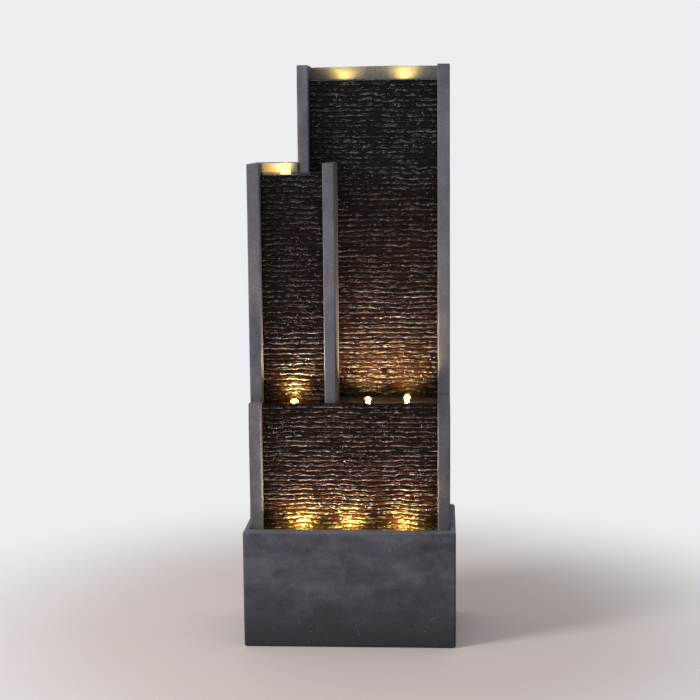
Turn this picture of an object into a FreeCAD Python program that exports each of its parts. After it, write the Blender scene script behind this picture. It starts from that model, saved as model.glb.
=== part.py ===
import FreeCAD, Part
import math
import os
import re
from types import SimpleNamespace

import Sketcher
from FreeCAD import Rotation, Vector

# Garden wall fountain: a short and a tall rippled water wall standing side by side above
# a wide lower one, which falls into a rectangular basin.
# Millimetres. X runs to the right, Y to the back, Z up, and the origin is on the ground
# at the middle of the footprint. A setback is measured back from the basin's front face.

doc = FreeCAD.newDocument("fountain")
sheet = doc.addObject("Spreadsheet::Sheet", "Sizes")

# Driving dimensions
SIZES = {
    # basin
    "width": 404,
    "depth": 240,
    "rim_height": 225,
    "deck_height": 255,
    "front_wall": 20,
    "side_wall": 10,
    "back_wall": 12,
    "floor_wall": 15,
    "basin_round": 5,
    "fit_gap": 0.3,
    "running_gap": 0.05,
    # upright columns
    "side_column": 24,
    "column_width": 22,
    "column_round": 2.5,
    "shoulder_height": 464,
    "short_height": 915,
    "tall_height": 1100,
    "cheek_setback": 40,
    "hood_wall": 8,
    "hood_step": 4,
    "short_bay": 119,
    "tall_inset": 90,
    "cleat_size": 8,
    # rippled panels
    "panel_thickness": 12,
    "tongue_thickness": 8,
    "groove_depth": 5,
    "ripple_depth": 2.4,
    "lower_pitch": 9.4,
    "upper_pitch": 10,
    "lower_recess": 18,
    "short_recess": 22,
    "tall_inset_back": 62,
    "lower_panel_foot": 60,
    "lower_panel_drop": 5,
    "short_panel_drop": 22,
    "tall_panel_drop": 29,
    # troughs
    "plate_thickness": 8,
    "trough_wall": 3,
    "dam_rise": 4,
    "middle_trough_depth": 35,
    "short_trough_depth": 20,
    "tall_trough_depth": 32,
    "short_trough_span": 41,
    "pass_size": 28,
    "cable_pass_width": 24,
    # lamps
    "lamp_diameter": 18,
    "lamp_length": 17,
    "stem_diameter": 10,
    "lens_diameter": 13,
    "lens_height": 4,
    "lens_seat": 3,
    "basin_stem": 10,
    "front_stem": 19,
    "rear_stem": 11,
    "upper_stem": 9,
    "basin_left_gap": 109,
    "basin_middle_place": -3,
    "basin_right_gap": 101,
    "basin_lamp_gap": 16,
    "middle_left_gap": 60.7,
    "middle_left_row": 14,
    "middle_centre_gap": 58.7,
    "middle_centre_row": 57,
    "middle_right_gap": 59.7,
    "middle_right_row": 69,
    "short_lamp_gap": 45.7,
    "short_row": 20,
    "tall_left_gap": 65.7,
    "tall_right_gap": 63.7,
    "tall_lamp_inset": 31,
    "bracket_width": 26,
    "bracket_wall": 3,
    "bracket_height": 36,
    "bracket_drop": 39,
    # access door
    "door_width": 244,
    "door_height": 150,
    "door_rise": 17,
    "door_lap": 16,
    "rebate_depth": 6,
    "gasket_thickness": 1.5,
    "gasket_width": 4,
    "gasket_inset": 1.5,
    "screw_diameter": 4,
    "screw_head": 8,
    "screw_head_height": 2.4,
    "screw_length": 9,
    "screw_inset": 5.5,
    "insert_diameter": 7,
    # pump
    "pump_gap": 34.7,
    "pump_inset": 121,
    "pump_length": 62,
    "pump_width": 56,
    "pump_height": 62,
    "pump_round": 4,
    "volute_diameter": 42,
    "volute_length": 20,
    "rotor_diameter": 18,
    "rotor_length": 34,
    "rotor_gap": 1,
    "impeller_diameter": 34,
    "impeller_disc": 2,
    "blade_height": 10,
    "blade_thickness": 2,
    "blade_count": 6,
    "shaft_diameter": 3,
    "shaft_seat": 4,
    "plate_rebate": 3,
    "eye_diameter": 20,
    "hub_diameter": 8,
    "spoke_width": 3,
    "cover_length": 16,
    "cover_wall": 2.5,
    "dial_diameter": 42,
    "dial_thickness": 3,
    "dial_pin": 8,
    "dial_pin_height": 4,
    "slot_width": 4,
    "slot_length": 12,
    "slot_count": 6,
    "slot_orbit": 12,
    "grip_height": 5,
    "cup_diameter": 16,
    "cup_height": 7,
    "cup_inset": 10,
    # water pipes
    "hose_diameter": 16,
    "hose_bore": 12,
    "barb_length": 16,
    "barb_bore": 8,
    "hose_bend": 40,
    "hose_inset": 30,
    "riser_rise": 66,
    "riser_slope": 80,
    "tee_rise": 100,
    "tee_body": 22,
    "tee_body_length": 28,
    "short_pipe_gap": 19.7,
    "short_pipe_drop": 63,
    "short_pipe_slope": 90,
    "nozzle_flange": 24,
    "nozzle_flange_height": 3,
    "clamp_width": 8,
    "clamp_thickness": 1.2,
    "clamp_inset": 3,
    # cables, gland and drain
    "cable_diameter": 4,
    "cable_bend": 12,
    "lead_pitch": 5.4,
    "lead_inset": 4.4,
    "box_length": 46,
    "box_width": 26,
    "box_height": 64,
    "box_lid": 3,
    "box_wall": 2.5,
    "box_drop": 54,
    "box_inset": 70,
    "front_row_gap": 13,
    "low_row_gap": 20,
    "lead_floor_gap": 9,
    "lead_floor_step": 10,
    "lead_panel_gap": 17,
    "lead_step": 12,
    "lead_under_gap": 40,
    "short_lead_drop": 30,
    "short_lead_gap": 18,
    "short_lead_clear": 10,
    "tall_lead_drop": 40,
    "tall_lead_step": 14,
    "pump_lead_back": 21,
    "pump_lead_rise": 38,
    "gland_inset": 82,
    "gland_drop": 17,
    "gland_bore": 8,
    "gland_neck": 16,
    "gland_flange": 22,
    "gland_flange_height": 3,
    "drain_inset": 72,
    "drain_rise": 23,
    "drain_bore": 20,
    "drain_flange": 30,
    "drain_flange_height": 4,
}

# Planes that several pieces share, worked out from the sizes above
COLUMN_OUT = "(width / 2 - side_wall - fit_gap)"
BAY_EDGE = f"({COLUMN_OUT} - side_column)"
DIVIDER_LEFT = f"(short_bay - {BAY_EDGE})"
DIVIDER_RIGHT = f"({DIVIDER_LEFT} + column_width)"
TALL_OUT = f"(tall_inset - {COLUMN_OUT})"
TALL_IN = f"({TALL_OUT} + column_width)"

# Places that follow from the sizes: each piece stands on, behind or beside its neighbour
TIED = {
    "lower_face": "cheek_setback + lower_recess",
    "short_setback": "lower_face + panel_thickness + trough_wall",
    "short_face": "short_setback + short_recess",
    "hood_setback": "short_face + panel_thickness + short_trough_span",
    "tall_setback": "hood_setback + hood_step",
    "tall_face": "depth - tall_inset_back",
    "lower_panel_top": "shoulder_height - lower_panel_drop",
    "short_panel_top": "short_height - short_panel_drop",
    "tall_panel_top": "tall_height - tall_panel_drop",
    "middle_floor": "lower_panel_top - middle_trough_depth",
    "short_floor": "short_panel_top - short_trough_depth",
    "tall_floor": "tall_panel_top - tall_trough_depth",
    "bracket_top": "rim_height - bracket_drop",
    "door_bottom": "deck_height + door_rise",
    "pump_place": f"{TALL_IN} + pump_gap",
    "pump_setback": "depth - pump_inset",
    "hose_setback": "depth - hose_inset",
    "riser_offset_low": "floor_wall + cup_height + pump_height + riser_rise",
    "riser_offset_high": "riser_offset_low + riser_slope",
    "tee_height": "riser_offset_high + tee_rise",
    "short_pipe_place": f"short_pipe_gap - {BAY_EDGE}",
    "short_pipe_setback": "short_face + panel_thickness + short_row",
    "short_pipe_high": "short_floor - short_pipe_drop",
    "short_pipe_low": "short_pipe_high - short_pipe_slope",
    "box_low": "middle_floor - plate_thickness - box_drop - box_height",
    "box_setback": "depth - box_inset",
    "gland_place": "width / 2 - gland_inset",
    "gland_level": "deck_height - gland_drop",
    "drain_place": "drain_inset - width / 2",
    "drain_level": "floor_wall + drain_rise",
}
cells = {**SIZES, **{alias: f"={formula}" for alias, formula in TIED.items()}}
for row, (alias, given) in enumerate(cells.items(), start=1):
    sheet.set(f"A{row}", alias)
    sheet.set(f"B{row}", str(given))
    sheet.setAlias(f"B{row}", alias)
doc.recompute()
size = SimpleNamespace(**{alias: float(sheet.get(alias)) for alias in cells})

BACK_IN = "(depth - back_wall)"
COLUMN_BACK = f"({BACK_IN} - fit_gap)"
LOWER_BACK = "(lower_face + panel_thickness)"
SHORT_BACK = "(short_face + panel_thickness)"
TALL_BACK = "(tall_face + panel_thickness)"
MIDDLE_UNDER = "(middle_floor - plate_thickness)"
DOOR_INNER = "(depth - rebate_depth)"
PUMP_LOW = "(floor_wall + cup_height)"
PUMP_END = "(pump_setback + pump_length)"
PUMP_AXIS = f"({PUMP_LOW} + pump_height / 2)"
VOLUTE_SETBACK = f"({PUMP_END} - plate_rebate - volute_length)"
ROTOR_SETBACK = f"({VOLUTE_SETBACK} - rotor_length)"
COVER_END = f"({PUMP_END} + cover_length)"

probe = doc.addObject("App::FeaturePython", "Probe")
probe.addProperty("App::PropertyFloat", "Result")
parts = []


def on_sheet(text):
    """Points each size named in an expression at its cell."""
    return re.sub(r"[a-z_]+", lambda word: f"Sizes.{word[0]}" if word[0] in cells else word[0], str(text))


def bind(item, prop, text):
    item.setExpression(prop, on_sheet(text))


def number(text):
    """The value of an expression, for code that needs a plain number."""
    bind(probe, "Result", text)
    probe.recompute()
    return probe.Result


def place(item, x, setback, height):
    bind(item, ".Placement.Base.x", x)
    bind(item, ".Placement.Base.y", f"{setback} - depth / 2")
    bind(item, ".Placement.Base.z", height)
    return item


def box(name, left, right, front, back, low, high):
    item = doc.addObject("Part::Box", name)
    bind(item, "Length", f"({right}) - ({left})")
    bind(item, "Width", f"({back}) - ({front})")
    bind(item, "Height", f"({high}) - ({low})")
    return place(item, left, f"({front})", low)


TURN = {
    "up": Rotation(),
    "back": Rotation(Vector(1, 0, 0), -90),
    "left": Rotation(Vector(0, 1, 0), -90),
}


def rod(name, diameter, length, x, setback, height, way="up"):
    """A cylinder that starts at the given point and runs up, back or left."""
    item = doc.addObject("Part::Cylinder", name)
    item.Placement.Rotation = TURN[way]
    bind(item, "Radius", f"({diameter}) / 2")
    bind(item, "Height", length)
    return place(item, x, f"({setback})", height)


def fuse(name, *items):
    item = doc.addObject("Part::MultiFuse", name)
    item.Shapes = list(items)
    item.Refine = True
    return item


def cut(name, base, *tools):
    item = doc.addObject("Part::Cut", name)
    item.Base = base
    item.Tool = tools[0] if len(tools) == 1 else fuse(f"{name}_tools", *tools)
    return item


def rounded(name, base, radius, wanted):
    """Rounds the edges whose bounding box passes the test."""
    doc.recompute()
    item = doc.addObject("Part::Fillet", name)
    item.Base = base
    edges = enumerate(base.Shape.Edges, start=1)
    item.Edges = [(index, radius, radius) for index, edge in edges if wanted(edge.BoundBox)]
    return item


def near(first, second):
    return abs(first - second) < 1e-4


def finish(item, label):
    """Names a finished sub-part and puts it on the list of parts."""
    item.Label = label
    parts.append(item)
    return item


def new_body(name, x, setback, height, way="up"):
    body = doc.addObject("PartDesign::Body", name)
    body.Placement.Rotation = TURN[way]
    return place(body, x, f"({setback})", height)


def new_sketch(body, name, plane="XY_Plane"):
    sketch = body.newObject("Sketcher::SketchObject", name)
    origin_plane = next(item for item in body.Origin.OriginFeatures if item.Role == plane)
    sketch.AttachmentSupport = [(origin_plane, "")]
    sketch.MapMode = "FlatFace"
    return sketch


def pin_point(sketch, geometry, corner, across, along):
    """Ties a point of a sketch to its place, measured from the sketch's origin."""
    for kind, axis, text in (("DistanceX", -2, across), ("DistanceY", -1, along)):
        at = number(text)
        if near(at, 0):
            sketch.addConstraint(Sketcher.Constraint("PointOnObject", geometry, corner, axis))
            continue
        index = sketch.addConstraint(Sketcher.Constraint(kind, -1, 1, geometry, corner, at))
        bind(sketch, f"Constraints[{index}]", text)


def draw_outline(sketch, corners):
    """A closed run of straight lines through corners that are given as expressions."""
    first = sketch.GeometryCount
    spots = [Vector(number(across), number(along), 0) for across, along in corners]
    count = len(spots)
    for index in range(count):
        sketch.addGeometry(Part.LineSegment(spots[index], spots[(index + 1) % count]), False)
    for index in range(count):
        following = first + (index + 1) % count
        sketch.addConstraint(Sketcher.Constraint("Coincident", first + index, 2, following, 1))
    for index, (across, along) in enumerate(corners):
        pin_point(sketch, first + index, 1, across, along)


def draw_rectangle(sketch, left, right, low, high):
    draw_outline(sketch, [(left, low), (right, low), (right, high), (left, high)])


def draw_circle(sketch, across, along, diameter):
    centre = Vector(number(across), number(along), 0)
    circle = Part.Circle(centre, Vector(0, 0, 1), number(diameter) / 2)
    index = sketch.addGeometry(circle, False)
    pin_point(sketch, index, 3, across, along)
    made = sketch.addConstraint(Sketcher.Constraint("Diameter", index, number(diameter)))
    bind(sketch, f"Constraints[{made}]", diameter)


def pad(body, name, sketch, length, start="0"):
    item = body.newObject("PartDesign::Pad", name)
    item.Profile = sketch
    bind(item, "Length", length)
    if start != "0":
        bind(sketch, ".AttachmentOffset.Base.z", start)
    doc.recompute()
    return item


def pocket(body, name, sketch, length, start="0"):
    """Cuts a sketch into the body, towards +Z of the sketch, and checks that it bites."""
    before = body.Shape.Volume
    item = body.newObject("PartDesign::Pocket", name)
    item.Profile = sketch
    item.Reversed = True
    bind(item, "Length", length)
    if start != "0":
        bind(sketch, ".AttachmentOffset.Base.z", start)
    doc.recompute()
    if body.Shape.Volume >= before:
        raise RuntimeError(f"{name} cuts nothing")
    return item


def revolved(name, x, setback, height, way, corners):
    """A turned piece: its half section, radius then distance along the axis, goes round Z."""
    body = new_body(name, x, setback, height, way)
    sketch = new_sketch(body, f"{name}_section", "XZ_Plane")
    draw_outline(sketch, corners)
    item = body.newObject("PartDesign::Revolution", f"{name}_turn")
    item.Profile = sketch
    item.ReferenceAxis = (sketch, ["V_Axis"])
    item.Angle = 360
    doc.recompute()
    return body


def route(points, bend):
    """Straight runs through the points, joined by tangent arcs."""
    spots = [Vector(*point) for point in points]
    edges = []
    start = spots[0]
    for before, corner, after in zip(spots, spots[1:], spots[2:]):
        into = corner - before
        out = after - corner
        half_turn = math.tan(into.getAngle(out) / 2)
        reach = min(bend * half_turn, 0.48 * min(into.Length, out.Length))
        radius = reach / half_turn
        into.normalize()
        out.normalize()
        first = corner - into * reach
        last = corner + out * reach
        inward = (out - into).normalize()
        middle = corner + inward * (math.hypot(radius, reach) - radius)
        edges.append(Part.makeLine(start, first))
        edges.append(Part.Arc(first, middle, last).toShape())
        start = last
    edges.append(Part.makeLine(start, spots[-1]))
    return Part.Wire(edges)


def tube(points, diameter, bore, bend):
    """A round tube along a route, hollow where it has a bore."""
    path = route(points, bend)
    heading = Vector(*points[1]) - Vector(*points[0])
    pipes = []
    for across in (diameter, bore):
        if across > 0:
            ring = Part.makeCircle(across / 2, Vector(*points[0]), heading)
            pipe = path.makePipeShell([Part.Wire(ring)], True, False)
            section = math.pi * across ** 2 / 4
            if abs(pipe.Volume / (section * path.Length) - 1) > 0.01:
                raise RuntimeError("a tube doesn't fill its route")
            pipes.append(pipe)
    return pipes[0].cut(pipes[1]) if bore > 0 else pipes[0]


def free_form(name, shapes, label):
    item = doc.addObject("Part::Feature", name)
    item.Shape = shapes[0] if len(shapes) == 1 else Part.makeCompound(shapes)
    return finish(item, label)


def at(x, setback, height):
    """A point in the part's own frame, from its setback behind the front face."""
    return (x, setback - size.depth / 2, height)


# Basin: an open box with a level rim; only its back wall stands higher, behind the columns
basin_block = box("basin_block", "-width / 2", "width / 2", "0", "depth", "0", "rim_height")
basin_rear = box(
    "basin_rear", f"-{COLUMN_OUT}", COLUMN_OUT, BACK_IN, "depth", "0", "deck_height"
)
basin_mass = fuse("basin_mass", basin_block, basin_rear)


def is_basin_edge(bounds):
    """Outer corners, the foot and the outer rim; not the step at the raised part."""
    half_width = size.width / 2
    half_depth = size.depth / 2
    at_side = near(bounds.XMin, bounds.XMax) and near(abs(bounds.XMin), half_width)
    at_front = near(bounds.YMin, bounds.YMax) and near(bounds.YMin, -half_depth)
    at_back = near(bounds.YMin, bounds.YMax) and near(bounds.YMin, half_depth)
    upright = not near(bounds.ZMin, bounds.ZMax)
    level = bounds.ZMax
    if upright:
        return at_side and (at_front or at_back)
    at_rim = near(level, size.rim_height) or near(level, size.deck_height)
    return (at_side or at_front or at_back) and (near(level, 0) or at_rim)


basin_soft = rounded("basin_soft", basin_mass, size.basin_round, is_basin_edge)
basin_hollow = box(
    "basin_hollow", "side_wall - width / 2", "width / 2 - side_wall", "front_wall", BACK_IN,
    "floor_wall", "deck_height + 1",
)
drain_hole = rod("drain_hole", "drain_bore", "back_wall", "drain_place", BACK_IN, "drain_level", "back")
drain_recess = rod(
    "drain_recess", "drain_flange + 2 * fit_gap", "drain_flange_height + fit_gap", "drain_place",
    "depth - drain_flange_height - fit_gap", "drain_level", "back",
)
gland_hole = rod("gland_hole", "gland_neck", "back_wall", "gland_place", BACK_IN, "gland_level", "back")
gland_recess = rod(
    "gland_recess", "gland_flange", "gland_flange_height", "gland_place",
    "depth - gland_flange_height", "gland_level", "back",
)
basin = cut("basin", basin_soft, basin_hollow, drain_hole, drain_recess, gland_hole, gland_recess)
finish(basin, "basin")


# Columns: plates on edge, softly rounded in front and on top, each with the grooves that
# hold the panels and the cleats that carry the troughs
def column(name, left, right, front, back, low, high):
    plate = box(f"{name}_plate", left, right, front, back, low, high)
    front_y = number(f"{front} - depth / 2")
    top = number(high)
    foot = number(low)

    def is_soft(bounds):
        in_front = near(bounds.YMax, front_y) and not near(bounds.ZMax, foot)
        on_top = near(bounds.ZMin, top) and not near(bounds.YMin, number(f"{back} - depth / 2"))
        return in_front or on_top

    return rounded(f"{name}_soft", plate, size.column_round, is_soft)


def groove(name, side, inner, face, low, high):
    """A slot for a panel's tongue in a column's inner face; side is 1 where the face looks left."""
    edges = (inner, f"{inner} + {side} * groove_depth")
    left, right = edges if side > 0 else edges[::-1]
    front = f"{face} + panel_thickness - tongue_thickness - fit_gap"
    back = f"{face} + panel_thickness + fit_gap"
    return box(name, left, right, front, back, low, high)


def cleat(name, side, inner, front, back, top):
    """A ledge on a column's inner face, under a trough."""
    edges = (f"{inner} - {side} * cleat_size", inner)
    left, right = edges if side > 0 else edges[::-1]
    return box(name, left, right, front, back, f"{top} - cleat_size", top)


for place_name, side in (("left", -1), ("right", 1)):
    name = f"lower_{place_name}_column"
    faces = (f"{side} * {BAY_EDGE}", f"{side} * {COLUMN_OUT}")
    left, right = faces if side > 0 else faces[::-1]
    plate = column(name, left, right, "cheek_setback", COLUMN_BACK, "floor_wall", "shoulder_height")
    ledge = cleat(
        f"{name}_cleat", side, faces[0], f"{LOWER_BACK} + cleat_size", f"{COLUMN_BACK} - cleat_size",
        MIDDLE_UNDER,
    )
    slot = groove(
        f"{name}_groove", side, faces[0], "lower_face", "lower_panel_foot - fit_gap",
        "lower_panel_top + fit_gap",
    )
    finish(cut(name, fuse(f"{name}_body", plate, ledge), slot), name)

SHORT_UNDER = "(short_floor - trough_wall)"
TALL_UNDER = "(tall_floor - trough_wall)"
short_column = column(
    "short_left_column", f"-{COLUMN_OUT}", f"-{BAY_EDGE}", "short_setback", COLUMN_BACK,
    "shoulder_height", "short_height",
)
short_column_cleat = cleat(
    "short_left_cleat", -1, f"-{BAY_EDGE}", f"{SHORT_BACK} + cleat_size / 2",
    "hood_setback - cleat_size / 2", SHORT_UNDER,
)
short_column_groove = groove(
    "short_left_groove", -1, f"-{BAY_EDGE}", "short_face", "shoulder_height",
    "short_panel_top + fit_gap",
)
short_column_body = fuse("short_left_body", short_column, short_column_cleat)
finish(cut("short_left_column_cut", short_column_body, short_column_groove), "short_left_column")

divider = column(
    "divider_column", DIVIDER_LEFT, DIVIDER_RIGHT, "short_setback", "tall_face - fit_gap",
    "middle_floor", "short_height",
)
divider_cleat = cleat(
    "divider_cleat", 1, DIVIDER_LEFT, f"{SHORT_BACK} + cleat_size / 2",
    "hood_setback - cleat_size / 2", SHORT_UNDER,
)
divider_groove = groove(
    "divider_groove", 1, DIVIDER_LEFT, "short_face", "shoulder_height", "short_panel_top + fit_gap"
)
finish(cut("divider_cut", fuse("divider_body", divider, divider_cleat), divider_groove), "divider_column")

tall_left = column(
    "tall_left_column", TALL_OUT, TALL_IN, "tall_setback", COLUMN_BACK, "middle_floor", "tall_height"
)
tall_right = column(
    "tall_right_column", BAY_EDGE, COLUMN_OUT, "tall_setback", COLUMN_BACK, "shoulder_height",
    "tall_height",
)
for name, plate, side, inner in (
    ("tall_left", tall_left, -1, TALL_IN),
    ("tall_right", tall_right, 1, BAY_EDGE),
):
    ledge = cleat(
        f"{name}_cleat", side, inner, f"{TALL_BACK} + cleat_size / 2",
        f"{COLUMN_BACK} - cleat_size / 2", TALL_UNDER,
    )
    slot = groove(
        f"{name}_groove", side, inner, "tall_face", "shoulder_height", "tall_panel_top + fit_gap"
    )
    finish(cut(f"{name}_cut", fuse(f"{name}_body", plate, ledge), slot), f"{name}_column")


# Rippled panels: a slab whose front is a row of horizontal ridges, with a tongue each side
def ripple_panel(label, left, right, face, low, high, tongue_low, pitch):
    low_z = number(low)
    high_z = number(high)
    face_y = number(f"{face} - depth / 2")
    valley_y = face_y + size.ripple_depth
    back_y = face_y + size.panel_thickness
    ridges = round((high_z - low_z) / pitch)
    step = (high_z - low_z) / ridges
    left_x = number(f"{left} + fit_gap")
    right_x = number(f"{right} - fit_gap")
    edges = []
    for index in range(ridges):
        foot = Vector(left_x, valley_y, low_z + index * step)
        crest = Vector(left_x, face_y, foot.z + step / 2)
        head = Vector(left_x, valley_y, foot.z + step)
        edges.append(Part.Arc(foot, crest, head).toShape())
    corners = [
        Vector(left_x, valley_y, high_z), Vector(left_x, back_y, high_z),
        Vector(left_x, back_y, low_z), Vector(left_x, valley_y, low_z),
    ]
    edges += [Part.makeLine(start, end) for start, end in zip(corners, corners[1:])]
    slab = Part.Face(Part.Wire(edges)).extrude(Vector(right_x - left_x, 0, 0))
    tongue_reach = size.groove_depth - size.fit_gap
    tongue = Part.makeBox(
        number(f"{right} - {left}") + 2 * tongue_reach, size.tongue_thickness,
        high_z - number(tongue_low),
        Vector(number(left) - tongue_reach, back_y - size.tongue_thickness, number(tongue_low)),
    )
    return free_form(f"{label}_shape", [slab.fuse(tongue)], label)


ripple_panel(
    "lower_ripple_panel", f"-{BAY_EDGE}", BAY_EDGE, "lower_face", "lower_panel_foot",
    "lower_panel_top", "lower_panel_foot", size.lower_pitch,
)
ripple_panel(
    "short_ripple_panel", f"-{BAY_EDGE}", DIVIDER_LEFT, "short_face", "middle_floor",
    "short_panel_top", "shoulder_height + fit_gap", size.upper_pitch,
)
ripple_panel(
    "tall_ripple_panel", TALL_IN, BAY_EDGE, "tall_face", "middle_floor", "tall_panel_top",
    "shoulder_height + fit_gap", size.upper_pitch,
)

# Lamps: where each stands, what it stands on and its stem
BASIN_ROW = "(front_wall + basin_lamp_gap)"
TALL_ROW = "(depth - tall_lamp_inset)"
LAMPS = {
    "basin_lamp_left": ("basin_left_gap - width / 2", BASIN_ROW, "bracket_top", "basin_stem"),
    "basin_lamp_middle": ("basin_middle_place", BASIN_ROW, "bracket_top", "basin_stem"),
    "basin_lamp_right": ("width / 2 - basin_right_gap", BASIN_ROW, "bracket_top", "basin_stem"),
    "middle_lamp_left": (
        f"middle_left_gap - {BAY_EDGE}", f"{LOWER_BACK} + middle_left_row", "middle_floor",
        "front_stem",
    ),
    "middle_lamp_centre": (
        f"{DIVIDER_RIGHT} + middle_centre_gap", f"{LOWER_BACK} + middle_centre_row",
        "middle_floor", "rear_stem",
    ),
    "middle_lamp_right": (
        f"{BAY_EDGE} - middle_right_gap", f"{LOWER_BACK} + middle_right_row", "middle_floor",
        "rear_stem",
    ),
    "short_lamp": (
        f"short_lamp_gap - {BAY_EDGE}", "short_pipe_setback", "short_floor", "upper_stem"
    ),
    "tall_lamp_left": (f"{TALL_IN} + tall_left_gap", TALL_ROW, "tall_floor", "upper_stem"),
    "tall_lamp_right": (f"{BAY_EDGE} - tall_right_gap", TALL_ROW, "tall_floor", "upper_stem"),
}


def lead_holes(name, under, thickness, *lamps):
    """Holes for the lamps' leads in the floor that they stand on."""
    holes = []
    for lamp in lamps:
        x, setback, _, _ = LAMPS[lamp]
        hole = rod(
            f"{name}_{lamp}", "cable_diameter + 2 * fit_gap", thickness, x, setback, under
        )
        holes.append(hole)
    return holes


# Middle trough: a plate between the lower columns, with a lip in front, a dam behind each
# upper panel and three openings for the hoses and the leads
middle_plate = box(
    "middle_plate", f"-{BAY_EDGE}", BAY_EDGE, LOWER_BACK, COLUMN_BACK, MIDDLE_UNDER, "middle_floor"
)
middle_lip = box(
    "middle_lip", f"-{BAY_EDGE}", BAY_EDGE, LOWER_BACK, f"{LOWER_BACK} + trough_wall",
    MIDDLE_UNDER, "lower_panel_top",
)
short_dam = box(
    "short_dam", f"-{BAY_EDGE}", f"{DIVIDER_LEFT}", SHORT_BACK, f"{SHORT_BACK} + trough_wall",
    MIDDLE_UNDER, "lower_panel_top + dam_rise",
)
tall_dam = box(
    "tall_dam", TALL_IN, BAY_EDGE, TALL_BACK, f"{TALL_BACK} + trough_wall", MIDDLE_UNDER,
    "lower_panel_top + dam_rise",
)
middle_mass = fuse("middle_mass", middle_plate, middle_lip, short_dam, tall_dam)


def floor_pass(name, left, right):
    return box(
        name, left, right, "hose_setback - pass_size / 2", "hose_setback + pass_size / 2",
        f"{MIDDLE_UNDER} - 1", "middle_floor + 1",
    )


short_pass = floor_pass(
    "short_pass", "short_pipe_place - pass_size / 2", f"{LAMPS['short_lamp'][0]} + cable_diameter * 2"
)
tall_pass = floor_pass("tall_pass", "pump_place - pass_size / 2", "pump_place + pass_size / 2")
CABLE_PASS_RIGHT = f"({BAY_EDGE} - cleat_size)"
cable_pass = floor_pass("cable_pass", f"{CABLE_PASS_RIGHT} - cable_pass_width", CABLE_PASS_RIGHT)
middle_holes = lead_holes(
    "middle_hole", MIDDLE_UNDER, "plate_thickness", "middle_lamp_left", "middle_lamp_centre",
    "middle_lamp_right",
)
middle_trough = cut("middle_trough", middle_mass, short_pass, tall_pass, cable_pass, *middle_holes)
finish(middle_trough, "middle_trough")

# Short trough: an open tray behind the short panel that reaches back beside the tall one
SHORT_LEFT = f"(fit_gap - {BAY_EDGE})"
SHORT_RIGHT = f"({DIVIDER_LEFT} - fit_gap)"
SHORT_ARM = f"({TALL_IN} + fit_gap)"
ARM_BACK = "(tall_face - fit_gap)"
SHORT_RIM = "(short_panel_top + dam_rise)"
TRAY_BACK = "(hood_setback - fit_gap)"
short_tray = fuse(
    "short_tray",
    box("short_tray_front", SHORT_LEFT, SHORT_RIGHT, SHORT_BACK, TRAY_BACK, SHORT_UNDER, SHORT_RIM),
    box("short_tray_arm", SHORT_ARM, SHORT_RIGHT, SHORT_BACK, ARM_BACK, SHORT_UNDER, SHORT_RIM),
)
short_well = fuse(
    "short_well",
    box(
        "short_well_front", f"{SHORT_LEFT} + trough_wall", f"{SHORT_RIGHT} - trough_wall",
        f"{SHORT_BACK} + trough_wall", f"{TRAY_BACK} - trough_wall", "short_floor",
        f"{SHORT_RIM} + 1",
    ),
    box(
        "short_well_arm", f"{SHORT_ARM} + trough_wall", f"{SHORT_RIGHT} - trough_wall",
        f"{SHORT_BACK} + trough_wall", f"{ARM_BACK} - trough_wall", "short_floor",
        f"{SHORT_RIM} + 1",
    ),
)
short_spill = box(
    "short_spill", SHORT_LEFT, SHORT_RIGHT, SHORT_BACK, f"{SHORT_BACK} + trough_wall",
    "short_panel_top", f"{SHORT_RIM} + 1",
)
NOZZLE_NECK = "(hose_bore - 2 * running_gap)"
short_nozzle_hole = rod(
    "short_nozzle_hole", f"{NOZZLE_NECK} + 2 * running_gap", "trough_wall", "short_pipe_place",
    "short_pipe_setback", SHORT_UNDER,
)
short_trough = cut(
    "short_trough", short_tray, short_well, short_spill, short_nozzle_hole,
    *lead_holes("short_hole", SHORT_UNDER, "trough_wall", "short_lamp"),
)
finish(short_trough, "short_trough")

# Tall trough: an open tray between the tall panel and the back
TALL_LEFT = f"({TALL_IN} + fit_gap)"
TALL_RIGHT = f"({BAY_EDGE} - fit_gap)"
TALL_RIM = "(tall_panel_top + dam_rise)"
tall_tray = box("tall_tray", TALL_LEFT, TALL_RIGHT, TALL_BACK, COLUMN_BACK, TALL_UNDER, TALL_RIM)
tall_well = box(
    "tall_well", f"{TALL_LEFT} + trough_wall", f"{TALL_RIGHT} - trough_wall",
    f"{TALL_BACK} + trough_wall", f"{COLUMN_BACK} - trough_wall", "tall_floor", f"{TALL_RIM} + 1",
)
tall_spill = box(
    "tall_spill", TALL_LEFT, TALL_RIGHT, TALL_BACK, f"{TALL_BACK} + trough_wall", "tall_panel_top",
    f"{TALL_RIM} + 1",
)
tall_nozzle_hole = rod(
    "tall_nozzle_hole", f"{NOZZLE_NECK} + 2 * running_gap", "trough_wall", "pump_place",
    "hose_setback", TALL_UNDER,
)
tall_trough = cut(
    "tall_trough", tall_tray, tall_well, tall_spill, tall_nozzle_hole,
    *lead_holes("tall_hole", TALL_UNDER, "trough_wall", "tall_lamp_left", "tall_lamp_right"),
)
finish(tall_trough, "tall_trough")

# Hood: closes the short tower behind its trough
hood_wall = box(
    "hood_wall", f"-{BAY_EDGE}", TALL_OUT, "hood_setback", "hood_setback + hood_wall",
    SHORT_UNDER, "short_height",
)
hood_roof = box(
    "hood_roof", f"-{BAY_EDGE}", TALL_OUT, "hood_setback", COLUMN_BACK,
    "short_height - hood_wall", "short_height",
)
hood = fuse("hood", hood_wall, hood_roof)
finish(hood, "short_hood")

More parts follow.
